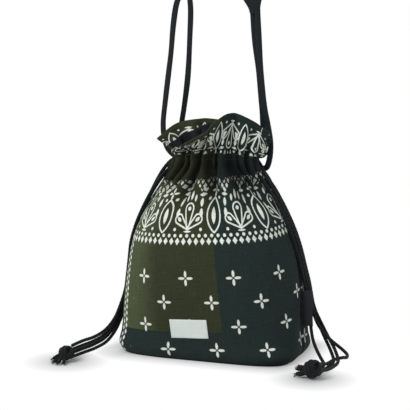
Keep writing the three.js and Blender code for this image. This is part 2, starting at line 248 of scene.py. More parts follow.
# The print's places and sizes, in millimetres on the flat cloth
LATTICE = 59.0
LATTICE_START = (-2.2, 106.9)
CROSS_PETAL = (7.8, 3.2, 1.2)
CROSS_TOP = 122.0
CROSS_LEFT = -82.0
BORDER_HEIGHT = 150.5
BORDER_PITCH = 8.6
BORDER_DIAMOND = (3.2, 4.4)
BORDER_DOT = 2.1
BORDER_DOT_RISE = 6.7
ORNAMENT_FOOT = 159.5
ORNAMENT_TOP = 227.0
ORNAMENT_PERIOD = 76.0
SPRINKLE_FOOT = 65.0
SPRINKLE_TOP = 80.0
RIM_FOOT = 259.0
RIM_FOLD = 303.0
RIM_STRETCH = 0.86
RIM_PERIOD = 62.0
EDGE_LINE = 147.5
LINE = 2.0
CHAIN_PLACE = -101.0
CHAIN_HALF = 3.4
CHAIN_PITCH = 7.6
CHAIN_DIAMOND = (2.6, 3.4)
BLOCK_EDGE = 36.0
BLOCK_FOOT = 40.0
# Painted highlight on the left of the olive: where it starts, and how fast it grows for each millimetre
PAINTED_HIGHLIGHT_EDGE = 42.0
PAINTED_HIGHLIGHT_RATE = 0.03
PRINT_EDGE = 0.45
PRINT_WOBBLE = 0.5
NOTHING = 50.0

# The outer cloth at each height: height, width, depth, squareness of the corners, middle
BAG_LEVELS = np.array([
    (0.000, 0.213, 0.120, 4.6, 0.000),
    (0.006, 0.223, 0.130, 4.2, 0.000),
    (0.025, 0.226, 0.136, 3.1, 0.000),
    (0.060, 0.223, 0.148, 2.6, 0.000),
    (0.100, 0.214, 0.156, 2.35, 0.000),
    (0.140, 0.199, 0.152, 2.2, 0.000),
    (0.168, 0.178, 0.137, 2.1, 0.000),
    (0.190, 0.157, 0.118, 2.0, 0.000),
    (0.206, 0.138, 0.099, 2.0, 0.001),
    (0.216, 0.124, 0.086, 2.0, 0.001),
    (0.227, 0.111, 0.073, 2.0, 0.001),
    (0.237, 0.107, 0.071, 2.0, 0.001),
])

# The printed facing inside the rim of each flap: place round the bag, and how far down it reaches
FRONT_FACING = [(-0.15, 0.014), (0.15, 0.014)]
# The navy lining below the facing is real, but the back facing is cut shortest where the mouth lies in shade,
# so that the dark lining there stands in as painted shade
BACK_FACING = [(0.15, 0.016), (0.27, 0.012), (0.33, 0.005), (0.372, 0.012), (0.408, 0.019), (0.46, 0.030)]

# The knots: centre, way through, radius of the wraps, thickness of a strand, and the tails' ends
KNOTS = {
    "knot_right": ((0.1495, -0.0872, 0.0120), (0.0, -1.0, 0.0), 0.0090, 0.0050,
                   [[(0.138, -0.084, 0.012), (0.1310, -0.0805, 0.0110)],
                    [(0.137, -0.080, 0.009), (0.1285, -0.0760, 0.0070)],
                    [(0.140, -0.088, 0.006), (0.1330, -0.0860, 0.0034)],
                    [(0.139, -0.091, 0.008), (0.1315, -0.0900, 0.0050)]]),
    "knot_left": ((-0.1456, -0.1152, 0.0105), (-0.15, -1.0, 0.0), 0.0074, 0.0044,
                  [[(-0.152, -0.122, 0.009), (-0.1565, -0.1270, 0.0060)],
                   [(-0.151, -0.123, 0.006), (-0.1540, -0.1300, 0.0032)],
                   [(-0.148, -0.126, 0.006), (-0.1480, -0.1325, 0.0032)],
                   [(-0.144, -0.124, 0.006), (-0.1420, -0.1295, 0.0032)]]),
}

# The wraps of a knot: axis, shift along it in strands, radius as a share of the knot's, start
KNOT_WRAPS = [((0.92, -0.05, 0.38), -0.95, 0.84, 0.3), ((0.92, -0.15, 0.36), 0.0, 0.95, 1.4),
              ((0.90, -0.25, 0.34), 0.95, 0.82, 2.6), ((-0.20, -0.62, 0.76), 0.2, 0.98, 4.0)]

# The shoulder band's middle line in millimetres, from its right end over the top to its left end,
# and the turn of its width in degrees
BAND_LINE = metres([
    (44.6, 15.4, 406.6), (42.5, 15.5, 419), (39.5, 15.8, 433), (34.5, 16.4, 451), (26, 17.2, 468),
    (13, 18, 482), (-3, 18.3, 488), (-19, 18.2, 483.5), (-31, 18, 472), (-39, 17.8, 457), (-43, 17.7, 445),
    (-44.1, 17.7, 434.4),
])
BAND_TURNS = [20, 20, 26, 42, 60, 78, 90, 102, 120, 150, 180, 196]

# The drawcord strands in millimetres, from the casing's side opening to the knot on the floor
CORD_ROUTES = {
    "drawcord_right_1": metres([
        (43.6, -3, 218.4), (52, -4, 218.4), (60.5, -6, 213.5), (69, -7, 203.5), (78.5, -7.5, 190),
        (88.5, -8, 172.5), (97.5, -7, 152), (104, -4, 130), (108.5, 0, 108), (112, 4, 88), (115, 7, 68),
        (118.5, 6, 50), (122, -1, 35), (127, -9, 24), (133, -15, 15), (139.5, -20, 7), (145, -26, 2.6),
        (148, -40, 2.2), (148, -58, 5.5), (149.5, -77, 8.5),
    ]),
    "drawcord_right_2": metres([
        (43.6, -3, 227.6), (52, -3, 227.4), (62, -1.5, 219.5), (70.5, -2, 206.5), (79.5, -2.5, 190.5),
        (89.5, -2.5, 172), (98.5, -1.5, 152), (105, 1, 131), (109.5, 5, 108), (113, 9.5, 88),
        (116.5, 13, 68), (121, 13, 51), (128, 9, 39), (137, 6, 29), (147, 5, 21), (157, 7, 13),
        (164.5, 5, 7.5), (167, -4, 6), (165, -15, 8.2), (159, -27, 8.6), (153.5, -42, 6.8),
        (151.5, -58, 10.5), (151, -77, 14),
    ]),
    "drawcord_right_3": metres([
        (43.6, 3, 227.6), (52, 3.5, 227.4), (62, 3.5, 219.5), (71, 3, 206), (80, 2.5, 190),
        (89.8, 2.8, 171.5), (98.5, 3.8, 152), (105, 6.5, 131), (109.5, 11, 108), (113, 15.5, 88),
        (116.5, 19.5, 68), (121.5, 20.5, 52), (129.5, 18.5, 38), (138.5, 14.5, 24.5), (147.5, 9, 13),
        (154.5, 0, 4.5), (159, -14, 2.2), (160, -34, 2.2), (157.5, -56, 3.5), (154.5, -77, 8),
    ]),
    "drawcord_right_4": metres([
        (43.6, 3, 218.4), (52, 5.5, 218.4), (61.5, 8, 214), (70.5, 8.5, 204), (79.5, 8, 190),
        (89.5, 8.3, 171.5), (98, 9.5, 152), (104.5, 12, 131), (109, 16.5, 108), (112.5, 21.5, 88),
        (115, 25.5, 68), (118.5, 26, 51), (125, 22, 37), (133, 17, 23.5), (141.5, 10.5, 12),
        (148.5, 1, 4.2), (153.5, -13, 2.2), (154.5, -34, 2.2), (153, -56, 2.4), (152, -77, 2.8),
    ]),
    "drawcord_left_1": metres([
        (-43.6, -3, 223), (-52, -5, 222.6), (-60, -10, 216.5), (-68, -15, 205.5), (-76.5, -18.5, 190.5),
        (-86.5, -19.5, 171), (-96, -17, 151), (-104, -13, 129), (-108.2, -9.5, 107), (-111.2, -8, 87),
        (-113.5, -9.5, 68), (-117, -15.5, 51), (-121, -26, 34.5), (-126, -43, 23.5), (-132, -64, 19),
        (-138, -84, 18.5), (-142.5, -106, 17.5),
    ]),
    "drawcord_left_2": metres([
        (-43.6, -3, 232.2), (-52, -4, 231.8), (-61.5, -6, 222.5), (-70, -9.5, 208), (-78, -13, 190.5),
        (-88, -14, 170.5), (-97.4, -11.5, 150.5), (-104.5, -7.5, 129), (-108.6, -4, 107),
        (-111.5, -2.5, 87), (-115, -4, 67), (-118.5, -10, 48), (-122.5, -21.5, 29.5), (-127.5, -40, 17.5),
        (-133, -62, 13.5), (-138, -83, 13), (-142.5, -106, 12.8),
    ]),
    "drawcord_left_3": metres([
        (-43.6, 3, 232.2), (-52, 3, 231.8), (-62.5, 1.5, 223), (-71.5, -3, 208), (-79.5, -7.5, 190.5),
        (-89, -8.5, 170.5), (-97.5, -6, 150.5), (-104.5, -2, 129), (-108.5, 1.5, 107), (-112, 3, 87),
        (-115.5, 1.5, 66), (-119.5, -4.5, 45), (-123.5, -17, 25), (-128.5, -37, 12.5), (-134, -60, 8.6),
        (-139, -82, 8.2), (-143.5, -106, 8.3),
    ]),
    "drawcord_left_4": metres([
        (-43.6, 3, 223), (-52, 5.5, 222.6), (-61.5, 5.5, 217), (-70.5, 2, 206), (-80, -2, 190),
        (-90, -3, 170.5), (-98.5, -0.5, 150.5), (-105, 3.5, 129), (-109.5, 7, 107), (-112.5, 9, 87),
        (-116, 8, 65), (-120, 2, 42), (-124, -11, 20), (-129, -30, 6.5), (-134.5, -54, 2.6),
        (-139.5, -78, 2.6), (-143.5, -106, 3.4),
    ]),
}

# The strap's strands in millimetres, from the casing up to the band
STRAP_ROUTES = {
    "strap_left_front": metres([
        (-52.5, 19, 231), (-59, 18.5, 233), (-68, 19.5, 241), (-73.5, 21.5, 255), (-75, 22, 270),
        (-71.5, 21, 300), (-67, 19, 329), (-62.5, 17, 358), (-58.5, 15, 392), (-54, 14.5, 417),
        (-47.6, 16.4, 433.4),
    ]),
    "strap_left_back": metres([
        (-47, 26, 238), (-51.5, 32, 241), (-58.5, 40.5, 250), (-60, 46, 268), (-55.5, 43, 290),
        (-47.5, 34.5, 328), (-42, 27, 377), (-39, 21.5, 412), (-40.6, 19, 433.2),
    ]),
    "strap_right_front": metres([
        (55.5, 16, 223), (60.5, 13.5, 225), (64.5, 12.5, 237), (64.5, 15.5, 254), (60.5, 20.5, 270),
        (55.5, 17, 299), (52.5, 14.5, 335), (50, 14, 370), (48, 14.2, 405.6),
    ]),
    "strap_right_back": metres([
        (51, 26, 237), (54, 31, 242), (52.5, 37.5, 253), (47.5, 39.5, 268), (48, 32.5, 292),
        (47, 23.5, 334), (43.6, 19, 370), (41.2, 16.6, 405.4),
    ]),
}

# Folds drawn in under the cords, in millimetres: places at the neck and the low end, height of the low end,
# depth, half widths at the neck and the low end, thousandths of the ruffle that it reaches up, drift there
FOLDS = metres([
    (-136, -140, 186, 4, 7, 11, 700, 0), (-112, -126, 176, 7, 6, 12, 800, -4),
    (-76, -106, 186, 16, 8, 13, 600, -4), (-52, -66, 200, 12, 5, 7, 500, -2),
    (-24, -35, 190, 19, 7, 10, 900, -6), (5, 34, 186, 22, 10, 13, 500, 4), (26, 20, 203, 13, 5, 7, 600, 2),
    (62, 88, 188, 23, 12, 15, 1100, -12), (86, 110, 196, 15, 6, 9, 500, 0),
    (108, 128, 180, 10, 7, 13, 800, 4), (133, 146, 182, 4, 7, 11, 600, 2),
    (172, 166, 178, 8, 8, 13, 700, 3), (205, 192, 188, 19, 8, 12, 900, 2),
    (226, 232, 198, 12, 5, 8, 500, 0), (248, 224, 176, 19, 9, 17, 1000, 4),
    (278, 268, 192, 17, 7, 11, 600, -3), (311, 318, 180, 20, 9, 16, 1000, 0),
    (334, 340, 200, 12, 5, 8, 500, 2), (354, 362, 190, 17, 8, 12, 700, 4),
    (386, 400, 178, 19, 9, 15, 900, -2), (424, 434, 184, 5, 8, 13, 800, 2),
])

# How the folds run out below and widen and fade above, and the room that they have over the cords at the
# casing's middle, which grows to twice as much between two distances from it
FOLD_TOP = 0.232
FOLD_RUNOUT = 0.016
FOLD_WIDENING = 0.008
FOLD_FADE = 0.9
FOLD_ROOM = 0.0110
CASING_MIDDLE = 0.226
FREE_OF_CORDS = (0.009, 0.024)

# Painted shade in the gathers and their folds, and at the foot of the cloth, most at the right corner
GATHER_MIDDLE = 0.223
GATHER_REACH = 0.021
PAINTED_GATHER_SHADE = 0.50
PAINTED_FOLD_SHADE = 0.80
FOOT_SHADE = 0.0025
FOOT_SHADE_MORE = 0.0055
FOOT_CORNER = 0.115
FOOT_CORNER_WIDTH = 0.045

# Broad waves of the cloth below the neck, in millimetres: place, half width, depth, height where it dies out
WAVES = metres([
    (-118, 20, 2.2, 120), (-58, 16, -1.6, 135), (-30, 14, 1.8, 150), (22, 18, 1.6, 140),
    (66, 15, -1.4, 145), (88, 18, 2.2, 125), (132, 20, 2.4, 105), (176, 22, 2, 120), (226, 20, 2.4, 110),
    (262, 16, -1.4, 140), (312, 20, 2.2, 125), (352, 18, 1.6, 140), (398, 22, 2.4, 115),
    (436, 16, 1.4, 140),
])

# The height where the waves are full, and the heights between which they end below the casing
WAVE_FULL = 0.190
WAVE_END = (0.205, 0.228)

# Slow hollows and swells of the standing bag, in millimetres: place, height, half width, half height, depth
DENTS = metres([
    (-90, 70, 30, 60, 1.6), (-38, 52, 22, 50, -1.2), (18, 85, 30, 50, 1.4), (70, 50, 28, 40, -1),
    (118, 85, 22, 55, 2.2), (150, 45, 16, 35, 3), (190, 80, 26, 50, 1.8), (250, 60, 30, 45, 1.4),
    (310, 95, 34, 50, 1.6), (370, 55, 28, 50, 1.2), (420, 80, 24, 60, 1.8), (454, 45, 16, 35, 2.8),
])

# The rim of each flap of the ruffle in millimetres, between the slits: place round the bag, then the point
FRONT_RIM = metres([
    (-151.5, -34, -32, 252), (-118, -23, -52, 255), (-78, -10, -59, 262), (-40, 4, -55, 271),
    (-2, 16, -47, 283), (30, 27, -41, 291), (64, 41, -33, 291), (98, 54, -23, 285), (128, 63, -10, 275),
    (151.5, 65, 4, 262),
])
BACK_RIM = metres([
    (151.5, 69, 7, 258), (186, 66, 18, 266), (222, 53, 31, 272), (258, 32, 41, 274), (294, 8, 46, 275),
    (330, -14, 47, 276), (366, -34, 42, 276), (400, -53, 31, 273), (430, -69, 15, 264),
    (454.5, -76, 2, 254),
])


def bell(x):
    return np.exp(-x * x)


def step(x, low, high):
    """0 below low, 1 above high, and smooth between."""
    t = np.clip((x - low) / (high - low), 0, 1)
    return t * t * (3 - 2 * t)


def ripple(place, short, long, sway):
    """An uneven wave round the bag."""
    return np.sin(place / short + sway * np.sin(place / long))


def eased(t, start, end, leave, arrive):
    """The way from the start to the end at t, which leaves and arrives along the given directions."""
    first = (1 + 2 * t) * (1 - t) ** 2 * start + t * (1 - t) ** 2 * leave
    return first + t * t * (3 - 2 * t) * end - t * t * (1 - t) * arrive


def smooth_curve(x, xs, ys):
    """The value at x of a smooth curve through the points xs, ys."""
    xs, ys = np.asarray(xs, float), np.asarray(ys, float)
    slopes = np.gradient(ys, xs)
    i = np.clip(np.searchsorted(xs, x, side="right") - 1, 0, len(xs) - 2)
    gap = xs[i + 1] - xs[i]
    t = np.clip((x - xs[i]) / gap, 0, 1)
    return eased(t, ys[i], ys[i + 1], gap * slopes[i], gap * slopes[i + 1])


def smooth_line(x, xs, points):
    """The points at x of a smooth line through the points."""
    return np.stack([smooth_curve(x, xs, values) for values in np.transpose(points)], axis=-1)


def distance_along(points):
    """How far each point of a line is from its start, or each point of a grid from its first row."""
    steps = np.linalg.norm(np.diff(points, axis=0), axis=-1)
    return np.concatenate([np.zeros_like(steps[:1]), np.cumsum(steps, axis=0)])


def oval(height, places):
    """The smooth bag at one height: x, y and the outward direction's x and y at places round it."""
    width, depth, square, middle = smooth_line(height, BAG_LEVELS[:, 0], BAG_LEVELS[:, 1:])
    angle = np.linspace(-math.pi, math.pi, OVAL_POINTS + 1) - math.pi / 2
    c, s = np.cos(angle), np.sin(angle)
    x = middle + width / 2 * np.sign(c) * np.abs(c) ** (2 / square)
    y = depth / 2 * np.sign(s) * np.abs(s) ** (2 / square)
    along = distance_along(np.stack([x, y], axis=-1))
    want = ((places / ROUND + 0.5) % 1) * along[-1]
    nudge = along[-1] * 1e-3
    (px, py), (ax, ay), (bx, by) = (
        [np.interp(at, along, v) for v in (x, y)]
        for at in (want, (want - nudge) % along[-1], (want + nudge) % along[-1]))
    length = np.hypot(bx - ax, by - ay)
    return px, py, (by - ay) / length, (ax - bx) / length


def moved_in(height, places, inward):
    """Points round the bag at one height, moved in from its smooth outline."""
    x, y, nx, ny = oval(min(height, CASING_TOP), places)
    return np.stack([x - nx * inward, y - ny * inward, np.full(len(places), height)], axis=-1)


def round_gap(a, b):
    """The distance between two places round the bag."""
    return (a - b + ROUND / 2) % ROUND - ROUND / 2


def fold_depth(place, height, up):
    """How far the folds draw the cloth in: up is the share of the ruffle, and 0 below it."""
    total = np.zeros_like(place)
    for neck, low, low_height, depth, thin, wide, reach, drift in FOLDS:
        lie = step(height, low_height - FOLD_RUNOUT, FOLD_TOP)
        climb = np.clip((height - low_height) / (FOLD_TOP - low_height), -0.5, 1)
        centre = low + (neck - low) * climb + drift * up
        width = wide + (thin - wide) * lie + FOLD_WIDENING * up
        fade = 1 - FOLD_FADE * step(up, 0.15 * reach, 1.35 * reach)
        total += depth * lie * fade * bell(round_gap(place, centre) / width)
    free = step(np.abs(height + up * RUFFLE - CASING_MIDDLE), *FREE_OF_CORDS)
    total = FOLD_ROOM * np.tanh(total / FOLD_ROOM) * (1 + free)
    for centre, width, depth, foot in WAVES:
        lie = step(height, foot, WAVE_FULL) * (1 - step(height, *WAVE_END))
        total += depth * lie * bell(round_gap(place, centre) / width)
    for centre, middle, width, tall, depth in DENTS:
        total += depth * bell(round_gap(place, centre) / width) * bell((height - middle) / tall)
    return total


def gather_shade(place, height, up):
    """Painted shade of the cloth in its gathers and at its foot, from 0 to 1: darkest where a fold dives
    under the cords.
    """
    deep = np.clip(fold_depth(place, height, up) / FOLD_ROOM, 0, 1)
    near = bell((height + up * RUFFLE - GATHER_MIDDLE) / GATHER_REACH)
    corner = bell((place - FOOT_CORNER) / FOOT_CORNER_WIDTH)
    foot = bell(height / (FOOT_SHADE + FOOT_SHADE_MORE * corner)) * (up == 0)
    return np.clip(near * (PAINTED_GATHER_SHADE + PAINTED_FOLD_SHADE * deep) + foot, 0, 1)


def pucker(place, height):
    """Small gathers where the casing is sewn down."""
    lines = bell((height - CASING_TOP) / PUCKER_REACH) + bell((height - CASING_BOTTOM) / PUCKER_REACH)
    return PUCKER * lines * ripple(place, *PUCKER_WAVE)


def body_points(places, heights):
    """The outer cloth from the bottom seam to the top of the casing, one row for each height."""
    rows = []
    for height in heights:
        full = np.full(len(places), height)
        inward = fold_depth(places, full, np.zeros(len(places))) + pucker(places, full)
        for seam in (-ROUND / 4, ROUND / 4):
            inward += SEAM_DEPTH * bell(round_gap(places, seam) / SEAM_WIDTH)
        rows.append(moved_in(height, places, inward))
    return np.array(rows)


def ruffle_points(places, rim):
    """One flap of the ruffle, from the top of the casing up and out to its rim."""
    x, y, nx, ny = oval(CASING_TOP, places)
    full = np.full(len(places), CASING_TOP)
    base = np.stack([x, y, full], axis=-1)
    out = np.stack([nx, ny, np.zeros(len(places))], axis=-1)
    rim = np.asarray(rim)
    edge = smooth_line(places, rim[:, 0], rim[:, 1:])
    span = np.linalg.norm(edge - base, axis=1)[:, None]
    bulge = bell(round_gap(places, BULGE_PLACE) / BULGE_WIDTH)[:, None]
    outward = (RUFFLE_OUT + BULGE_OUT * bulge) * out
    upward = np.array([0, 0, RUFFLE_UP]) * (1 - BULGE_DROP * bulge)
    arrive = RUFFLE_ARRIVAL * (edge - base) + span * RUFFLE_FLARE * out
    made = []
    for t in RUFFLE_SHARES:
        inward = fold_depth(places, full, np.full(len(places), t)) + pucker(places, full + t * RUFFLE)
        flutter = FLUTTER * t * ripple(places, *FLUTTER_WAVE) * step(t, 0.3, 1)
        point = eased(t, base, edge, span * (outward + upward), arrive)
        made.append(point - out * (inward + flutter)[:, None])
    return np.array(made)


# Meshes
def put_in_scene(name, data):
    """A new object of the scene that shows the data."""
    made = bpy.data.objects.new(name, data)
    bpy.context.scene.collection.objects.link(made)
    return made


def new_mesh(name, points, faces, material, smooth=True):
    mesh = bpy.data.meshes.new(name)
    mesh.from_pydata(np.asarray(points).reshape(-1, 3).tolist(), [], faces)
    mesh.validate()
    if smooth:
        mesh.shade_smooth()
    mesh.materials.append(material)
    return put_in_scene(name, mesh)


def store(piece, values):
    """Keeps a vector for each point of the mesh, which its material reads as its place on the flat cloth,
    with the bag's painted shade as its third number.
    """
    layer = piece.data.attributes.new("cloth", "FLOAT_VECTOR", "POINT")
    flat = np.zeros((len(piece.data.vertices), 3), np.float32)
    flat[:, :values.shape[-1]] = values.reshape(len(flat), -1)
    layer.data.foreach_set("vector", flat.ravel())


def stand_for(piece, node):
    """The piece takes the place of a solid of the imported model."""
    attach(piece, "root")
    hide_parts(node)


def unit(vectors):
    return vectors / np.maximum(np.linalg.norm(vectors, axis=-1, keepdims=True), 1e-12)


def grid_normals(grid):
    return unit(np.cross(np.gradient(grid, axis=1), np.gradient(grid, axis=0)))


def edge_of_grid(rows, columns):
    """The numbers of the points round the edge of a grid, in order."""
    edge = list(range(columns))
    edge += [r * columns + columns - 1 for r in range(1, rows)]
    edge += [(rows - 1) * columns + c for c in range(columns - 2, -1, -1)]
    return edge + [r * columns for r in range(rows - 2, 0, -1)]


def thick_sheet(name, outer, thickness, material, place, normals=None):
    """A closed sheet: the grid of its outer face, the same grid moved in, and the strip round its edge."""
    rows, columns = outer.shape[:2]
    normals = grid_normals(outer) if normals is None else normals
    inner = outer - normals * np.broadcast_to(thickness, (rows, columns))[..., None]
    count = rows * columns
    faces = []
    for r in range(rows - 1):
        for c in range(columns - 1):
            a = r * columns + c
            quad = (a, a + 1, a + 1 + columns, a + columns)
            faces.append(quad)
            faces.append(tuple(k + count for k in reversed(quad)))
    edge = edge_of_grid(rows, columns)
    for a, b in zip(edge, edge[1:] + edge[:1]):
        faces.append((b, a, a + count, b + count))
    piece = new_mesh(name, np.stack([outer, inner]), faces, material)
    store(piece, np.stack([place, place]))
    return piece


def tube_faces(rows, sides):
    """The faces of a closed tube made of rings of points, with a cap at each end."""
    faces = []
    for r in range(rows - 1):
        for k in range(sides):
            n = (k + 1) % sides
            faces.append((r * sides + k, r * sides + n, (r + 1) * sides + n, (r + 1) * sides + k))
    faces.append(tuple(reversed(range(sides))))
    faces.append(tuple((rows - 1) * sides + k for k in range(sides)))
    return faces


def spaced_path(points, gap):
    """A smooth path through the points with even steps of about the gap, and the distance along it."""
    steps = np.linalg.norm(np.diff(points, axis=0), axis=1)
    knots = np.concatenate([[0], np.cumsum(np.sqrt(steps))])
    line = smooth_line(np.linspace(0, knots[-1], PATH_POINTS), knots, points)
    along = distance_along(line)
    want = np.linspace(0, along[-1], max(2, round(along[-1] / gap)) + 1)
    return np.stack([np.interp(want, along, line[:, k]) for k in range(3)], axis=-1), want


def across_path(path):
    """Two directions across the path at each of its points, which don't spin round it."""
    tangent = unit(np.gradient(path, axis=0))
    side = np.cross(tangent[0], (0, 0, 1) if abs(tangent[0][2]) < 0.9 else (0, 1, 0))
    sides = []
    for t in tangent:
        side = unit(side - t * np.dot(side, t))
        sides.append(side)
    return np.array(sides), np.cross(tangent, sides)


def tube_mesh(name, path, radii, material, place):
    """A closed tube round the path, with a row of radii for each of its points."""
    rows, sides = radii.shape
    across, over = across_path(path)
    angle = np.arange(sides) / sides * 2 * math.pi
    ring = np.cos(angle)[None, :, None] * across[:, None] + np.sin(angle)[None, :, None] * over[:, None]
    piece = new_mesh(name, path[:, None] + ring * radii[..., None], tube_faces(rows, sides), material)
    store(piece, place)
    return piece


def joined(name, parts):
    """Several objects made into one piece."""
    with bpy.context.temp_override(active_object=parts[0], selected_editable_objects=parts):
        bpy.ops.object.join()
    parts[0].name = name
    return parts[0]


# Colours as they look on screen, and numbers worked out by shader nodes
def srgb(red, green, blue):
    """A colour for a shader from its 0 to 255 values on screen."""
    parts = [v / 255 for v in (red, green, blue)]
    return [*(v / 12.92 if v <= 0.04045 else ((v + 0.055) / 1.055) ** 2.4 for v in parts), 1.0]


# Colours of the print and the floor
OLIVE = srgb(52, 56, 38)
# The olive with a painted highlight, as lit from the left
OLIVE_PAINTED_HIGHLIGHT = srgb(74, 83, 57)
TEAL = srgb(35, 47, 45)
PRINT_WHITE = srgb(226, 232, 222)
FLOOR_COLOUR = srgb(225, 226, 226)


def feed(tree, socket, value):
    """Gives an input a field, the output of a node or a constant."""
    if isinstance(value, Field):
        value = value.socket
    if isinstance(value, bpy.types.NodeSocket):
        tree.links.new(value, socket)
    else:
        socket.default_value = value


def add_node(tree, kind, inputs, **settings):
    """A new node of that kind with its settings, and with each of its inputs fed."""
    node = tree.nodes.new("ShaderNode" + kind)
    for name, value in settings.items():
        setattr(node, name, value)
    for key, value in inputs.items():
        feed(tree, node.inputs[key], value)
    return node


class Field:
    """A number that varies over the surface, held by a socket of a node."""

    def __init__(self, tree, socket):
        self.tree = tree
        self.socket = socket

    def math(self, operation, *others, clamp=False):
        inputs = dict(enumerate((self, *others)))
        node = add_node(self.tree, "Math", inputs, operation=operation, use_clamp=clamp)
        return Field(self.tree, node.outputs[0])

    def __add__(self, other):
        return self.math("ADD", other)

    def __sub__(self, other):
        return self.math("SUBTRACT", other)

    def __mul__(self, other):
        return self.math("MULTIPLY", other)

    def __abs__(self):
        return self.math("ABSOLUTE")

    def least(self, *others):
        """The lowest of several numbers, which joins the shapes whose distances they are."""
        lowest = self
        for other in others:
            lowest = lowest.math("MINIMUM", other)
        return lowest

    def most(self, other):
        return self.math("MAXIMUM", other)

    def over(self, level):
        """1 where the number is over the level, and 0 elsewhere."""
        return self.math("GREATER_THAN", level)

    def under(self, level):
        """1 where the number is under the level, and 0 elsewhere."""
        return self.math("LESS_THAN", level)

    def fold(self, period):
        """The number folded to and fro, so that it runs from 0 to half the period and back."""
        return self.math("PINGPONG", period / 2)

    def wrap(self, period):
        """The number brought into one period round 0."""
        return self.math("WRAP", period / 2, -period / 2)

    def inside(self, edge):
        """1 where a distance is below 0, and 0 above, over an edge that wide."""
        return self.math("MULTIPLY_ADD", -1 / edge, 0.5, clamp=True)


def fields(tree, vector):
    """The three numbers of a vector that a node puts out."""
    split = add_node(tree, "SeparateXYZ", {0: vector})
    return [Field(tree, socket) for socket in split.outputs]


def reach(x, y):
    """The distance of a place from 0."""
    return x.math("MULTIPLY_ADD", x, y * y).math("SQRT")


def turned(x, y, degrees):
    c, s = math.cos(math.radians(degrees)), math.sin(math.radians(degrees))
    return (x * c) + (y * s), (y * c) - (x * s)


# Distances in millimetres to the outlines of simple shapes, below 0 inside
def disc(x, y, radius):
    return reach(x, y) - radius


def spindle(x, y, half_length, half_width):
    """A pointed oval along y."""
    radius = (half_length ** 2 + half_width ** 2) / (2 * half_width)
    return reach(abs(x) + (radius - half_width), y) - radius


def lozenge(x, y, half_width, half_height):
    slope = half_width / half_height
    return (abs(x) + abs(y) * slope - half_width) * (1 / math.hypot(1, slope))


def petals(x, y, length, width, gap):
    """Four petals round a place, one each way."""
    across, along = abs(x), abs(y)
    far = across.most(along) - (gap + length / 2)
    near = across.least(along)
    return (reach(far * (2 / length), near * (2 / width)) - 1.0) * (width / 2)


def drop(x, y, height, small, large):
    """A drop with its small end at 0 and its large end at the height, along y."""
    share = (small - large) / height
    level = math.sqrt(1 - share * share)
    wide = abs(x)
    k = wide * -share + y * level
    side = wide * level + y * share - small
    low = reach(wide, y) - small
    high = reach(wide, y - height) - large
    upper = side + (high - side) * k.over(level * height)
    return upper + (low - upper) * k.under(0.0)


def line(distance, width):
    """A line that wide along an outline."""
    return abs(distance) - width / 2


# Materials
def material(name, roughness, sheen=0.0):
    """A material with its shader, ready for its colour and bump."""
    made = bpy.data.materials.new(name)
    made.use_nodes = True
    shader = made.node_tree.nodes["Principled BSDF"]
    shader.inputs["Roughness"].default_value = roughness
    shader.inputs["Specular IOR Level"].default_value = SPECULAR
    shader.inputs["Sheen Weight"].default_value = sheen
    shader.inputs["Sheen Roughness"].default_value = SHEEN_ROUGHNESS
    return made, made.node_tree, shader


def cloth_place(tree):
    """The place on the flat cloth in millimetres, along and up the print, and the painted shade of the
    gathers and the foot.
    """
    source = add_node(tree, "Attribute", {}, attribute_name="cloth")
    along, up, shade = fields(tree, source.outputs["Vector"])
    return along * 1000.0, up * 1000.0, shade


def noise(tree, x, y):
    """Soft noise from 0 to 1 over two numbers."""
    place = add_node(tree, "CombineXYZ", {0: x, 1: y})
    inputs = {"Scale": 1.0, "Detail": 2.0, "Vector": place.outputs[0]}
    return Field(tree, add_node(tree, "TexNoise", inputs, noise_dimensions="2D").outputs["Fac"])


def object_noise(tree, scale):
    """Noise over the object's own space."""
    place = add_node(tree, "TexCoord", {})
    inputs = {"Scale": scale, "Detail": 3.0, "Vector": place.outputs["Object"]}
    return Field(tree, add_node(tree, "TexNoise", inputs).outputs["Fac"])


def mixed(tree, share, first, second, blend="MIX"):
    """A colour between two, which are colours, fields or the outputs of other nodes."""
    inputs = {"Factor": share, 6: first, 7: second}
    return add_node(tree, "Mix", inputs, data_type="RGBA", blend_type=blend).outputs[2]


def bumped(tree, shader, height, depth, under=None):
    """Bump of that depth in metres from a height of 0 to 1, over the bump that is under it."""
    inputs = {"Distance": depth, "Height": height}
    if under is not None:
        inputs["Normal"] = under
    normal = add_node(tree, "Bump", inputs).outputs[0]
    tree.links.new(normal, shader.inputs["Normal"])
    return normal


def weave(x, y, pitch):
    """Plain weave: threads that pass over and under each other, 0 to 1."""
    turn = 2 * math.pi / pitch
    return (x * turn).math("SINE") * (y * turn).math("SINE") * 0.5 + 0.5


def slubs(tree, x, y):
    """Thick and thin threads both ways, 0 to 1."""
    upright = noise(tree, x * SLUB_ACROSS, y * SLUB_ALONG)
    level = noise(tree, x * SLUB_ALONG, y * SLUB_ACROSS)
    return (upright + level) * 0.5


# The white print, all in millimetres on the flat cloth
def crosses(x, y):
    """Four-petal crosses in staggered rows, below the border and beside the chain."""
    u = x - LATTICE_START[0]
    v = y - LATTICE_START[1]
    first = petals(u.wrap(LATTICE), v.wrap(LATTICE), *CROSS_PETAL)
    second = petals((u - LATTICE / 2).wrap(LATTICE), (v - LATTICE / 2).wrap(LATTICE), *CROSS_PETAL)
    return first.least(second) + y.over(CROSS_TOP) * NOTHING + x.under(CROSS_LEFT) * NOTHING


def border(x, y):
    """A row of round dots over a row of upright diamonds."""
    up = y - BORDER_HEIGHT
    dots = disc(x.wrap(BORDER_PITCH), up - BORDER_DOT_RISE, BORDER_DOT)
    diamonds = lozenge((x - BORDER_PITCH / 2).wrap(BORDER_PITCH), up, *BORDER_DIAMOND)
    return dots.least(diamonds)


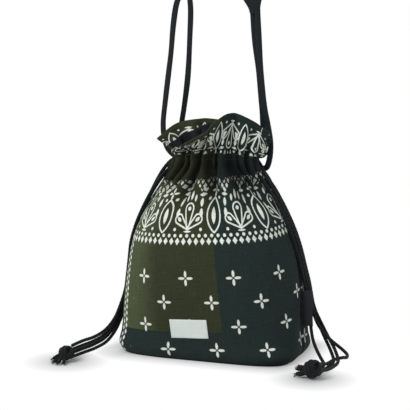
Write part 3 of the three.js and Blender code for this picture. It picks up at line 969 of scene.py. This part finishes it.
def chain(x, y):
    """Two columns of small diamonds up the side, below the border."""
    across = x - CHAIN_PLACE
    left = lozenge(across + CHAIN_HALF, y.wrap(CHAIN_PITCH), *CHAIN_DIAMOND)
    right = lozenge(across - CHAIN_HALF, (y - CHAIN_PITCH / 2).wrap(CHAIN_PITCH), *CHAIN_DIAMOND)
    return left.least(right) + y.over(BORDER_HEIGHT) * NOTHING


def spray(x, y):
    """Three drops fanned up from a small spindle, each with a seed in its round end."""
    foot = y - 6.0
    side_x, side_y = turned(abs(x), foot, -52)
    return line(drop(x, foot, 24.0, 0.9, 6.6), LINE).least(
        disc(x, foot - 24.0, 2.5),
        line(drop(side_x, side_y, 19.0, 0.9, 5.6), LINE),
        spindle(side_x, side_y - 18.0, 4.0, 2.0),
        spindle(y - 2.6, x, 5.5, 1.3),
        spindle(x, foot - 40.5, 6.0, 2.2),
        spindle(abs(x) - 7.5, foot - 37.0, 4.6, 1.9))


def leaf(x, y):
    """A tall pointed leaf with a spindle in it, a four-petal cross over it and dots beside it."""
    up = y - 21.0
    return line(spindle(x, up, 20.0, 9.6), LINE).least(
        spindle(x, up, 10.0, 3.0),
        petals(x, y - 49.5, 6.8, 3.0, 1.0),
        disc(abs(x) - 8.0, y - 41.0, 1.9))


def between(x, y):
    """A split spindle and seeds in the gaps of the band."""
    return spindle(x, abs(y - 31.0) - 6.4, 5.6, 2.6).least(
        spindle(y - 47.0, x, 5.4, 2.1),
        disc(x, y - 54.0, 2.0),
        disc(x, y - 5.0, 2.0))


def sprinkle(x, y):
    """Lozenges in staggered rows over the band's ornaments, which rise and fall along the cloth."""
    first = lozenge(x.wrap(9.0), (y - 58.0).wrap(11.6), 2.9, 3.6)
    second = lozenge((x - 4.5).wrap(9.0), (y - 63.8).wrap(11.6), 2.6, 3.2)
    level = y + x.fold(ORNAMENT_PERIOD / 2) * 0.9
    return first.least(second) + level.under(SPRINKLE_FOOT) * NOTHING + level.over(SPRINKLE_TOP) * NOTHING


def rim_band(x, y):
    """The ruffle's ornaments, turned over down from its rim and wide enough to read in the gathers."""
    up = y * -1.0 + RIM_FOLD
    wide = x * RIM_STRETCH
    shape = spray(wide.wrap(RIM_PERIOD), up).least(
        leaf((wide + RIM_PERIOD / 2).wrap(RIM_PERIOD), up * 1.1),
        between(wide.fold(RIM_PERIOD) - RIM_PERIOD / 4, up * 1.35),
        line(abs(x) - EDGE_LINE, 1.3))
    return shape + y.under(RIM_FOOT) * NOTHING


def band(x, y):
    """The ornaments over the border."""
    up = y - ORNAMENT_FOOT
    shape = spray(x.wrap(ORNAMENT_PERIOD), up).least(
        leaf((x - ORNAMENT_PERIOD / 2).wrap(ORNAMENT_PERIOD), up),
        between(x.fold(ORNAMENT_PERIOD) - ORNAMENT_PERIOD / 4, up),
        sprinkle(x, up))
    return shape + y.over(ORNAMENT_TOP) * NOTHING + up.under(0.0) * NOTHING


def print_mask(x, y):
    """1 on the white print and 0 off it."""
    return crosses(x, y).least(border(x, y), chain(x, y), band(x, y), rim_band(x, y)).inside(PRINT_EDGE)


def cotton_ground(tree, x, y):
    """The dyed blocks under the print: olive and teal, with a painted highlight that lightens the olive to
    the left below the ruffle.
    """
    teal = x.over(BLOCK_EDGE).most(y.under(BLOCK_FOOT))
    # Painted highlight, growing to the left below the ruffle
    light = ((x + PAINTED_HIGHLIGHT_EDGE) * -PAINTED_HIGHLIGHT_RATE).math("ADD", 0.0, clamp=True) * y.under(ORNAMENT_TOP)
    return mixed(tree, teal, mixed(tree, light, OLIVE, OLIVE_PAINTED_HIGHLIGHT), TEAL)


def printed_cotton():
    made, tree, shader = material("printed_cotton", 0.88, sheen=0.03)
    x, y, painted_shade = cloth_place(tree)
    wobble = noise(tree, x * 0.9, y * 0.9) * PRINT_WOBBLE
    colour = mixed(tree, print_mask(x + wobble, y + wobble), cotton_ground(tree, x, y), PRINT_WHITE)
    thread = slubs(tree, x, y)
    fine = weave(x, y, COTTON_WEAVE)
    # The thread's own tone, darkened by the painted shade of the gathers and the foot
    shade = (thread * 1.3 + fine * 0.25 + 0.22).most(COTTON_DARKEST) * (painted_shade * COTTON_PAINTED_SHADE + 1.0)
    tree.links.new(mixed(tree, 1.0, colour, shade, "MULTIPLY"), shader.inputs["Base Color"])
    coarse = bumped(tree, shader, thread, COTTON_SLUB_BUMP)
    bumped(tree, shader, fine, COTTON_WEAVE_BUMP, coarse)
    return made


def plain_cloth(name):
    """Woven cloth of one colour, with its threads along the flat cloth."""
    dark, light, roughness, sheen, pitch, depth = PLAIN_CLOTHS[name]
    made, tree, shader = material(name, roughness, sheen)
    x, y, _ = cloth_place(tree)
    thread = slubs(tree, x, y)
    tree.links.new(mixed(tree, thread, srgb(*dark), srgb(*light)), shader.inputs["Base Color"])
    bumped(tree, shader, weave(x, y, pitch) * 0.6 + thread * 0.4, depth)
    return made


def braid_material():
    """Round black braid: the strands are in the mesh, and fine yarns in the bump."""
    made, tree, shader = material("black_braid", 0.62, sheen=0.05)
    x, y, _ = cloth_place(tree)
    yarn = ((x * 9.0) + (y * 6.0)).math("SINE") * 0.5 + 0.5
    fuzz = object_noise(tree, 900.0)
    tree.links.new(mixed(tree, yarn * 0.5 + fuzz * 0.5, srgb(12, 13, 14), srgb(32, 34, 36)),
                   shader.inputs["Base Color"])
    bumped(tree, shader, yarn * 0.7 + fuzz * 0.3, 0.0002)
    return made


def thread_material(name, dark, light):
    made, tree, shader = material(name, 0.6, sheen=0.1)
    fuzz = object_noise(tree, 700.0)
    tree.links.new(mixed(tree, fuzz, dark, light), shader.inputs["Base Color"])
    bumped(tree, shader, fuzz, 0.0001)
    return made


# Camera, lights and floor
def aimed(name, data, place, direction):
    """A camera or light at a place, which looks along the direction."""
    made = put_in_scene(name, data)
    made.location = place
    made.rotation_mode = "QUATERNION"
    made.rotation_quaternion = direction.to_track_quat("-Z", "Y")
    return made


def photo_camera():
    data = bpy.data.cameras.new("camera")
    data.sensor_width = SENSOR_WIDTH
    data.lens = PHOTO_DISTANCE / METRES_PER_PIXEL * SENSOR_WIDTH / PHOTO_SIZE
    back = Vector((math.sin(PHOTO_YAW) * math.cos(PHOTO_ELEVATION),
                   -math.cos(PHOTO_YAW) * math.cos(PHOTO_ELEVATION), math.sin(PHOTO_ELEVATION)))
    bpy.context.scene.camera = aimed("camera", data, PHOTO_TARGET + back * PHOTO_DISTANCE, -back)


def area_light(name, place, size, power):
    data = bpy.data.lights.new(name, "AREA")
    data.size = size
    data.energy = power
    aimed(name, data, place, LIGHT_AIM - Vector(place))


def seen_directly(tree):
    """1 for what the camera sees, straight or in gloss or glass."""
    path = add_node(tree, "LightPath", {})
    kinds = ("Is Camera Ray", "Is Glossy Ray", "Is Transmission Ray")
    camera, gloss, glass = (Field(tree, path.outputs[kind]) for kind in kinds)
    return camera.most(gloss).most(glass)


def white_world(light):
    """A backdrop that is seen white and lights the bag with that strength."""
    world = bpy.data.worlds.new("studio")
    world.use_nodes = True
    tree = world.node_tree
    shown = tree.nodes["Background"]
    shown.inputs["Color"].default_value = (1, 1, 1, 1)
    feed(tree, shown.inputs["Strength"], seen_directly(tree) * (1 - light) + light)
    bpy.context.scene.world = world


def shadow_share(tree):
    """How far the floor has faded into the backdrop at a place, from 0 by the bag and the knots to 1."""
    place = add_node(tree, "TexCoord", {})
    x, y, _ = fields(tree, place.outputs["Object"])
    past_bag = reach((abs(x) - FOOTPRINT[0]).most(0.0), (abs(y) - FOOTPRINT[1]).most(0.0))
    past_knots = [disc(x - centre[0], y - centre[1], KNOT_SHADOW) for centre, *_ in KNOTS.values()]
    return past_bag.least(*past_knots).math("DIVIDE", SHADOW_REACH, clamp=True)


def pale_floor():
    """A white floor that takes the shadow close to the bag and the knots and fades into the backdrop."""
    made, tree, shader = material("floor", 0.9)
    shader.inputs["Base Color"].default_value = FLOOR_COLOUR
    share = shadow_share(tree) * seen_directly(tree)
    glow = add_node(tree, "Emission", {})
    blend = add_node(tree, "MixShader", {0: share, 1: shader.outputs[0], 2: glow.outputs[0]})
    tree.links.new(blend.outputs[0], tree.nodes["Material Output"].inputs["Surface"])
    angle = np.arange(FLOOR_SIDES) / FLOOR_SIDES * 2 * math.pi
    ring = np.stack([np.cos(angle), np.sin(angle), np.zeros(FLOOR_SIDES)], axis=-1) * FLOOR_RADIUS
    new_mesh("floor", ring, [tuple(range(FLOOR_SIDES))], made, smooth=False)


def build_stage():
    photo_camera()
    white_world(WORLD_LIGHT)
    for name, (place, size, power) in LIGHTS.items():
        area_light(name, place, size, power)
    pale_floor()
    bpy.context.scene.view_settings.view_transform = "Standard"


# Cords
def braid_radii(along, radius):
    """The radius of a braid's surface at each place along it and round it."""
    turn = np.arange(CORD_SIDES)[None, :] / CORD_SIDES * BRAID_STRANDS
    one = turn + along[:, None] / BRAID_PITCH
    other = turn - along[:, None] / BRAID_PITCH
    over = (np.floor(one) + np.floor(other)) % 2
    height = np.where(over > 0.5, np.sin(math.pi * (other % 1)), np.sin(math.pi * (one % 1)))
    return radius * (BRAID_LOW + BRAID_RISE * height)


def grid_place(across, along):
    """The place on the cloth of each point of a grid, from its columns' and its rows' places."""
    return np.stack(np.broadcast_arrays(np.asarray(across)[None, :], np.asarray(along)[:, None]), axis=-1)


def braid(name, route, black):
    """A cord along the route, and the path that it follows."""
    path, along = spaced_path(route, CORD_STEP)
    radii = braid_radii(along, CORD_DIAMETER / 2)
    radii[[0, -1]] *= CORD_END
    turn = np.arange(CORD_SIDES) / CORD_SIDES * math.pi * CORD_DIAMETER
    return tube_mesh(name, path, radii, black, grid_place(turn, along)), path


def build_drawcords(black, knots):
    for node, route in CORD_ROUTES.items():
        cord, path = braid(node + "_braid", route, black)
        stand_for(cord, node)
        knot = knots["right" if "right" in node else "left"]


def build_casing_cords(black):
    """Each cord's run round the neck inside the casing, out at its own side."""
    for node, (height, side) in CASING_CORDS.items():
        angles = np.linspace(CASING_END, 2 * math.pi - CASING_END, 15)
        xs = side * CASING_RING[0] * np.cos(angles) + CASING_SHIFT
        round_neck = [(x, y, height) for x, y in zip(xs, CASING_RING[1] * np.sin(angles))]
        leave = [(side * x, y, height) for x, y in CASING_EXIT]
        back = [(x, -y, z) for x, y, z in reversed(leave)]
        cord, _ = braid(node + "_braid", leave + round_neck + back, black)
        stand_for(cord, node)


def helix(centre, heading, radius, pitch, phase):
    """A coil of cord round a line through the centre."""
    side = unit(np.cross(heading, (0, 0, 1.0)))
    up = np.cross(side, heading)
    t = np.linspace(-WRAP_TURNS / 2, WRAP_TURNS / 2, int(WRAP_TURNS * WRAP_STEPS) + 1)
    angle = t * 2 * math.pi + phase
    grow = radius * (1 - WRAP_CLOSING * (2 * t / WRAP_TURNS) ** 4)
    across = side * (np.cos(angle) * grow)[:, None] + up * (np.sin(angle) * grow)[:, None]
    return centre + heading * (t * pitch)[:, None] + across


def frayed_end(tip, toward, black, seed):
    """Loose yarns that spread from the cut end of a cord."""
    draw = np.random.default_rng(seed)
    toward = unit(toward)
    strands = []
    for _ in range(YARNS):
        aim = unit(toward + draw.normal(0, YARN_SPREAD, 3))
        end = tip + aim * draw.uniform(*YARN_LENGTH)
        end[2] = max(end[2], YARN_FLOOR)
        start = tip - toward * 0.002 + draw.normal(0, 0.0007, 3)
        middle = (start + end) / 2 + draw.normal(0, 0.0005, 3)
        path, along = spaced_path([start, middle, end], 0.0012)
        thin = YARN_RADIUS * (1 - 0.5 * along / along[-1])
        place = np.zeros((len(path), YARN_SIDES, 2))
        radii = np.repeat(thin[:, None], YARN_SIDES, axis=1)
        strands.append(tube_mesh("yarn", path, radii, black, place))
    return strands


def knot_strand(points, radius, black):
    """A short length of braid through the points, and its path."""
    path, along = spaced_path(points, CORD_STEP)
    place = grid_place(np.zeros(CORD_SIDES), along)
    return tube_mesh("strand", path, braid_radii(along, radius), black, place), path


def knot_core(centre, heading, radius, black):
    """The bundle that the wraps go round."""
    core = [centre - heading * radius, centre, centre + heading * radius * CORE_FRONT]
    path, along = spaced_path(core, CORD_STEP)
    taper = 1 - CORE_TAPER * (2 * along / along[-1] - 1) ** 4
    radii = braid_radii(along, radius * CORE_RADIUS) * taper[:, None]
    return tube_mesh("core", path, radii, black, np.zeros((len(path), CORD_SIDES, 2)))


def build_knot(name, black):
    """An overhand knot of four cords: they wrap side by side round the bundle and leave as short tails."""
    centre, heading, radius, strand, tails = KNOTS[name]
    centre = np.asarray(centre)
    heading = unit(heading)
    parts = []
    for axis, shift, size, start in KNOT_WRAPS:
        axis = unit(axis)
        wrap = helix(centre + axis * shift * strand, axis, radius * size, strand * WRAP_PITCH, start)
        wrap[:, 2] = np.maximum(wrap[:, 2], strand / 2 + WRAP_LIFT)
        parts.append(knot_strand(wrap, strand / 2, black)[0])
    parts.append(knot_core(centre, heading, radius, black))
    for k, tail in enumerate(tails):
        start = centre + heading * TAIL_START
        bend = start + (np.asarray(tail[0]) - start) * 0.5
        bend[2] += TAIL_RISE
        piece, path = knot_strand([start, bend, *tail], strand * TAIL_RADIUS, black)
        parts.append(piece)
        parts += frayed_end(path[-1], path[-1] - path[-4], black, FRAY_SEED + k)
    knot = joined(name + "_tied", parts)
    stand_for(knot, name)
    return knot


# Straps
def strip_mesh(name, path, facing, half_widths, half_depths, cloth):
    """A flat padded strip along the path, its face turned towards the facing directions."""
    tangent = unit(np.gradient(path, axis=0))
    across = unit(np.cross(tangent, facing))
    through = np.cross(across, tangent)
    angle = (np.arange(STRIP_SIDES) + 0.5) / STRIP_SIDES * 2 * math.pi
    c, s = np.cos(angle), np.sin(angle)
    u, v = (np.sign(n) * np.abs(n) ** power for n, power in zip((c, s), STRIP_ROUNDING))
    v = v * (1 - STRIP_CHANNEL * bell((np.abs(u) - STRIP_CHANNEL_PLACE) / STRIP_CHANNEL_WIDTH))
    wide = u * half_widths[:, None]
    thick = v * half_depths[:, None]
    points = path[:, None] + across[:, None] * wide[..., None] + through[:, None] * thick[..., None]
    piece = new_mesh(name, points, tube_faces(len(path), STRIP_SIDES), cloth)
    store(piece, np.stack([wide, np.repeat(distance_along(path)[:, None], STRIP_SIDES, 1)], axis=-1))
    return piece


def build_straps(cloth):
    for node, route in STRAP_ROUTES.items():
        top = unit(np.subtract(route[-1], route[-2])) * STRAP_TUCK + route[-1]
        path, along = spaced_path([*route, top], STRAP_STEP)
        share = along / along[-1]
        twist = 0.3 + 0.5 * np.sin(share * 2.6 + len(node))
        facing = unit(np.stack([twist, np.full(len(path), -1.0), np.zeros(len(path))], axis=-1))
        wide = STRAP_WIDTH / 2 * (1 + 0.05 * np.sin(share * 17))
        thick = np.full(len(path), STRAP_DEPTH / 2)
        stand_for(strip_mesh(node + "_sewn", path, facing, wide, thick, cloth), node)


def build_band(cloth):
    index = np.arange(len(BAND_LINE))
    fine = np.linspace(0, index[-1], BAND_ROWS)
    path = smooth_line(fine, index, BAND_LINE)
    turn = smooth_curve(fine, index, np.radians(BAND_TURNS))
    from_end = np.minimum(fine, index[-1] - fine)
    wide = BAND_END_WIDTH / 2 + (BAND_WIDTH - BAND_END_WIDTH) / 2 * step(from_end, 0.2, 2.2)
    wide *= 1 - 0.35 * (1 - step(from_end, 0.0, 0.12))
    thick = BAND_DEPTH / 2 * (0.8 + 0.2 * step(from_end, 0.3, 2.0))
    across = np.stack([np.cos(turn), np.sin(turn), np.zeros(len(turn))], axis=-1)
    facing = np.cross(across, unit(np.gradient(path, axis=0)))
    band = strip_mesh("shoulder_band_sewn", path, facing, wide, thick, cloth)
    stand_for(band, "shoulder_band")


# The bag's cloth
class Panel:
    """One side of the bag: its points from the bottom up to the rim, and their places on the cloth."""

    def __init__(self, columns, rim, middle, side):
        self.places = np.linspace(-ROUND / 4, ROUND * 3 / 4, COLUMNS + 1)[columns]
        low = np.linspace(0, FOOT_HEIGHT, FOOT_ROWS + 1)[:-1]
        heights = np.concatenate([low, np.linspace(FOOT_HEIGHT, CASING_TOP, BODY_ROWS - FOOT_ROWS)])
        body = body_points(self.places, heights)
        self.open_slot(body, heights)
        under = self.bottom_points(body[0])
        self.grid = np.concatenate([under, body, ruffle_points(self.places, rim)])
        climb = distance_along(np.array([moved_in(height, self.places, 0.0) for height in heights]))
        self.top = climb[-1]
        above = self.top + RUFFLE * RUFFLE_SHARES[:, None]
        self.climb = np.concatenate([-np.linalg.norm(under - body[0], axis=2), climb, above])
        self.normals = grid_normals(self.grid)
        self.normals[:BOTTOM_ROWS] = (0, 0, -1)
        self.print = self.printed((self.places - middle) * side, self.gathers(heights))

    def printed(self, flat, shade):
        """The place in the print, which is tilted up to the casing, and the painted shade, at each point."""
        c, s = math.cos(PRINT_TILT), math.sin(PRINT_TILT)
        slope = flat * s * (1 - step(self.climb, self.top - 0.01, self.top + 0.01))
        return np.stack([flat * c + self.climb * s, self.climb * c - slope, shade], axis=-1)

    def gathers(self, heights):
        """The painted shade of the gathers and the foot at each point of the grid."""
        zero = np.zeros(len(self.places))
        rows = [zero] * BOTTOM_ROWS
        rows += [gather_shade(self.places, zero + height, zero) for height in heights]
        rows += [gather_shade(self.places, zero + CASING_TOP, zero + share) for share in RUFFLE_SHARES]
        return np.array(rows)

    def open_slot(self, body, heights):
        """Parts the side seams where the cords leave the casing."""
        share = np.clip((heights - SLOT_BOTTOM) / (SLOT_TOP - SLOT_BOTTOM), 0, 1)
        part = CORD_SLOT_HALF * np.sin(math.pi * share)
        for row, wide in zip(body, part):
            for end, sign in ((0, 1), (-1, -1)):
                across = unit(np.gradient(row, axis=0))[end]
                near = bell((self.places - self.places[end]) / SLOT_REACH)
                row += sign * across * (wide * near)[:, None]

    def bottom_points(self, edge):
        """The cloth under the bag, from its middle seam out to the edge."""
        rows = []
        for share in np.arange(BOTTOM_ROWS) / BOTTOM_ROWS:
            row = edge * [1 - 0.02 * (1 - share), share, 1]
            row[:, 2] = BOTTOM_LIFT
            rows.append(row)
        return np.array(rows)

    def at(self, place, climb):
        """The point of the outer face at a place on the cloth, and its outward direction."""
        column = np.interp(place, self.places, np.arange(len(self.places)))
        left = int(min(column, len(self.places) - 2))
        part = column - left
        found = []
        for c in (left, left + 1):
            row = np.interp(climb, self.climb[:, c], np.arange(len(self.climb)))
            low = int(min(row, len(self.climb) - 2))
            up = row - low
            found.append([g[low, c] * (1 - up) + g[low + 1, c] * up for g in (self.grid, self.normals)])
        return [a * (1 - part) + b * part for a, b in zip(*found)]


def hem_thickness(panel):
    """Thicker cloth where it is turned over along the rim and the slits."""
    fold = panel.top + RUFFLE - HEM_WIDTH
    rim = step(panel.climb, fold - 0.0005, fold + 0.0005)
    above = step(panel.climb, panel.top + 0.002, panel.top + 0.004)
    edge = np.minimum(panel.places - panel.places[0], panel.places[-1] - panel.places)
    slit = above * (1 - step(edge, SLIT_HEM_WIDTH - 0.0005, SLIT_HEM_WIDTH + 0.0005))[None, :]
    return CLOTH + HEM_EXTRA * rim + SLIT_HEM_EXTRA * slit


def build_panel(panel, name, node, cotton):
    piece = thick_sheet(name, panel.grid, hem_thickness(panel), cotton, panel.print, panel.normals)
    stand_for(piece, node)


def lining_in_ruffle(panel, facing, cloth):
    """The lining's own cloth on the inside of one flap, from the casing up to the printed facing."""
    first = len(panel.grid) - RUFFLE_ROWS - 2
    whole, normals = panel.grid[first:], panel.normals[first:]
    places, widths = zip(*facing)
    tops = (1 - np.interp(panel.places, places, widths) / RUFFLE) * (RUFFLE_ROWS + 1)
    rows = np.linspace(0, 1, FACING_ROWS)[:, None] * tops
    low = np.minimum(rows.astype(int), len(whole) - 2)
    up = (rows - low)[..., None]
    columns = np.arange(whole.shape[1])[None, :]
    grid, out = (v[low, columns] * (1 - up) + v[low + 1, columns] * up for v in (whole, normals))
    flat = np.stack(np.broadcast_arrays(panel.places, rows * RUFFLE / RUFFLE_ROWS), axis=-1)
    inner = grid - out * (CLOTH + FACING_GAP)
    keep = slice(3, -3)
    return thick_sheet("lining_in_ruffle", inner[:, keep], LINING, cloth, flat[:, keep], out[:, keep])


def build_lining(cloth, panels):
    """The smooth lining, which hangs inside the outer cloth and gathers a little at the neck."""
    places = np.linspace(-ROUND / 4, ROUND * 3 / 4, LINING_COLUMNS)
    rows = []
    for height in [LINING_BOTTOM, *np.linspace(LINING_FOOT, LINING_TOP, LINING_ROWS)]:
        gather = step(height, *LINING_NECK)
        inset = LINING_INSET + gather * (LINING_GATHER + LINING_WAVE_DEPTH * ripple(places, *LINING_WAVE))
        folds = fold_depth(places, np.full(len(places), height), np.zeros(len(places)))
        inset = np.maximum(inset, folds + LINING_CLEAR)
        inset = inset - LINING_FLARE * step(height, CASING_TOP, LINING_TOP)
        rows.append(moved_in(height, places, inset))
    floor = [rows[0] * [share, share, 1] for share in LINING_FLOOR]
    grid = np.array(floor + rows)
    flat = grid_place(places, np.arange(len(grid)) * LINING_PITCH)
    parts = [thick_sheet("lining_cloth", grid, LINING, cloth, flat)]
    for panel, facing in zip(panels, (FRONT_FACING, BACK_FACING)):
        parts.append(lining_in_ruffle(panel, facing, cloth))
    stand_for(joined("lining_cloth", parts), "lining")


# Stitches, the label and the tag
def stitch_points(panel, line_points, along, start, length, thickness):
    """The four rings of points of one stitch, whose ends dip into the cloth."""
    points = []
    for share, wide in STITCH_RINGS:
        want = start + share * length
        (point, out), (ahead, _) = (panel.at(*[np.interp(at, along, line_points[:, k]) for k in (0, 1)])
                                    for at in (want, want + 0.0005))
        out = unit(out)
        side = unit(np.cross(ahead - point, out))
        lift = thickness * (0.35 if wide == 1 else -0.2)
        for angle in np.arange(STITCH_SIDES) / STITCH_SIDES * 2 * math.pi:
            ring = side * math.cos(angle) + out * math.sin(angle)
            points.append(point + out * lift + ring * thickness * wide)
    return points


def stitches(name, panel, lines, thread, length=0.0026, gap=0.0012, thickness=0.00034):
    """Running stitches along lines of places on the cloth, as one piece."""
    points, faces = [], []
    for line_points in lines:
        line_points = np.asarray(line_points)
        along = distance_along(line_points)
        for start in np.arange(0, along[-1] - length, length + gap):
            for face in tube_faces(len(STITCH_RINGS), STITCH_SIDES):
                faces.append(tuple(len(points) + k for k in face))
            points += stitch_points(panel, line_points, along, start, length, thickness)
    piece = new_mesh(name, points, faces, thread)
    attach(piece, "root")
    return piece


def sewing_lines(panel):
    """The seams that show: both edges of the casing, and the hem below the rim and beside the slits."""
    inner = slice(3, -3)
    rises = (*CASING_SEAMS, RUFFLE - HEM_SEAM)
    lines = [np.stack([panel.places[inner], panel.top[inner] + rise], axis=-1) for rise in rises]
    for column in (5, -6):
        rises = np.linspace(0.004, RUFFLE - 0.0075, 20)
        lines.append(grid_place([panel.places[column]], panel.top[column] + rises)[:, 0])
    return lines


def label_place(u, v):
    """The place on the bag's cloth under a point of the label."""
    c, s = math.cos(LABEL_TILT), math.sin(LABEL_TILT)
    return LABEL_CENTRE[0] + u * c - v * s, LABEL_CENTRE[1] + v * c + u * s


def build_label(panel, cloth, thread):
    """The woven label, sewn down along its left and right ends."""
    grid, flat = [], []
    for v in np.linspace(-0.5, 0.5, LABEL_ROWS) * LABEL_HEIGHT:
        for u in np.linspace(-0.5, 0.5, LABEL_COLUMNS) * LABEL_WIDTH:
            point, out = panel.at(*label_place(u, v))
            lift = LABEL_LIFT + 0.0003 * math.sin(u / 0.0075) * (2 * v / LABEL_HEIGHT) ** 2
            grid.append(point + out * lift)
            flat.append((u, v))
    grid = np.array(grid).reshape(LABEL_ROWS, LABEL_COLUMNS, 3)
    label = thick_sheet("front_label_woven", grid, 0.0006, cloth, np.array(flat))
    stand_for(label, "front_label")
    ends = np.linspace(-0.44, 0.44, 12) * LABEL_HEIGHT
    lines = [[label_place(side * (0.5 * LABEL_WIDTH - 0.0018), v) for v in ends] for side in (-1, 1)]
    raised = stitches("label_stitches", panel, lines, thread, length=0.0018, gap=0.0008, thickness=0.0002)
    rise = Vector(panel.at(*LABEL_CENTRE)[1] * LABEL_LIFT)
    for vertex in raised.data.vertices:
        vertex.co += rise


def build_tag(cloth):
    """The side tag: a narrow woven strip folded over and caught in the right seam."""
    low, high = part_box("side_tag")
    start = low.x - TAG_SEWN
    tall = high.z - low.z
    grid, flat = [], []
    for v in np.linspace(0, 1, 25):
        bow = 0.0016 * math.sin(v * math.pi) + 0.0010 * v
        row = [(start + u * TAG_LENGTH, low.y + 0.0005 + w * TAG_HALF - bow * u * u, low.z + v * tall)
               for u, w in TAG_PROFILE]
        flat += [(k * 0.003, v * tall) for k in range(len(TAG_PROFILE))]
        grid.append(row)
    tag = thick_sheet("side_tag_woven", np.array(grid), 0.0005, cloth, np.array(flat))
    stand_for(tag, "side_tag")


def main():
    build_stage()
    black = braid_material()
    knots = {side: build_knot("knot_" + side, black) for side in ("right", "left")}
    build_drawcords(black, knots)
    build_casing_cords(black)
    cotton = printed_cotton()
    front = Panel(slice(0, COLUMNS // 2 + 1), FRONT_RIM, 0.0, 1)
    back = Panel(slice(COLUMNS // 2, COLUMNS + 1), BACK_RIM, ROUND / 2, -1)
    build_panel(front, "front_cloth", "front_panel", cotton)
    build_panel(back, "back_cloth", "back_panel", cotton)
    build_lining(plain_cloth("navy_lining"), (front, back))
    dark_thread = thread_material("dark_thread", srgb(22, 24, 24), srgb(44, 47, 46))
    for panel, name in ((front, "front_stitches"), (back, "back_stitches")):
        stitches(name, panel, sewing_lines(panel), dark_thread)
    strap_cloth = plain_cloth("strap_cloth")
    build_straps(strap_cloth)
    build_band(strap_cloth)
    label_thread = thread_material("label_thread", srgb(196, 204, 199), srgb(226, 233, 229))
    build_label(front, plain_cloth("label_cloth"), label_thread)
    build_tag(plain_cloth("tag_cloth"))


main()
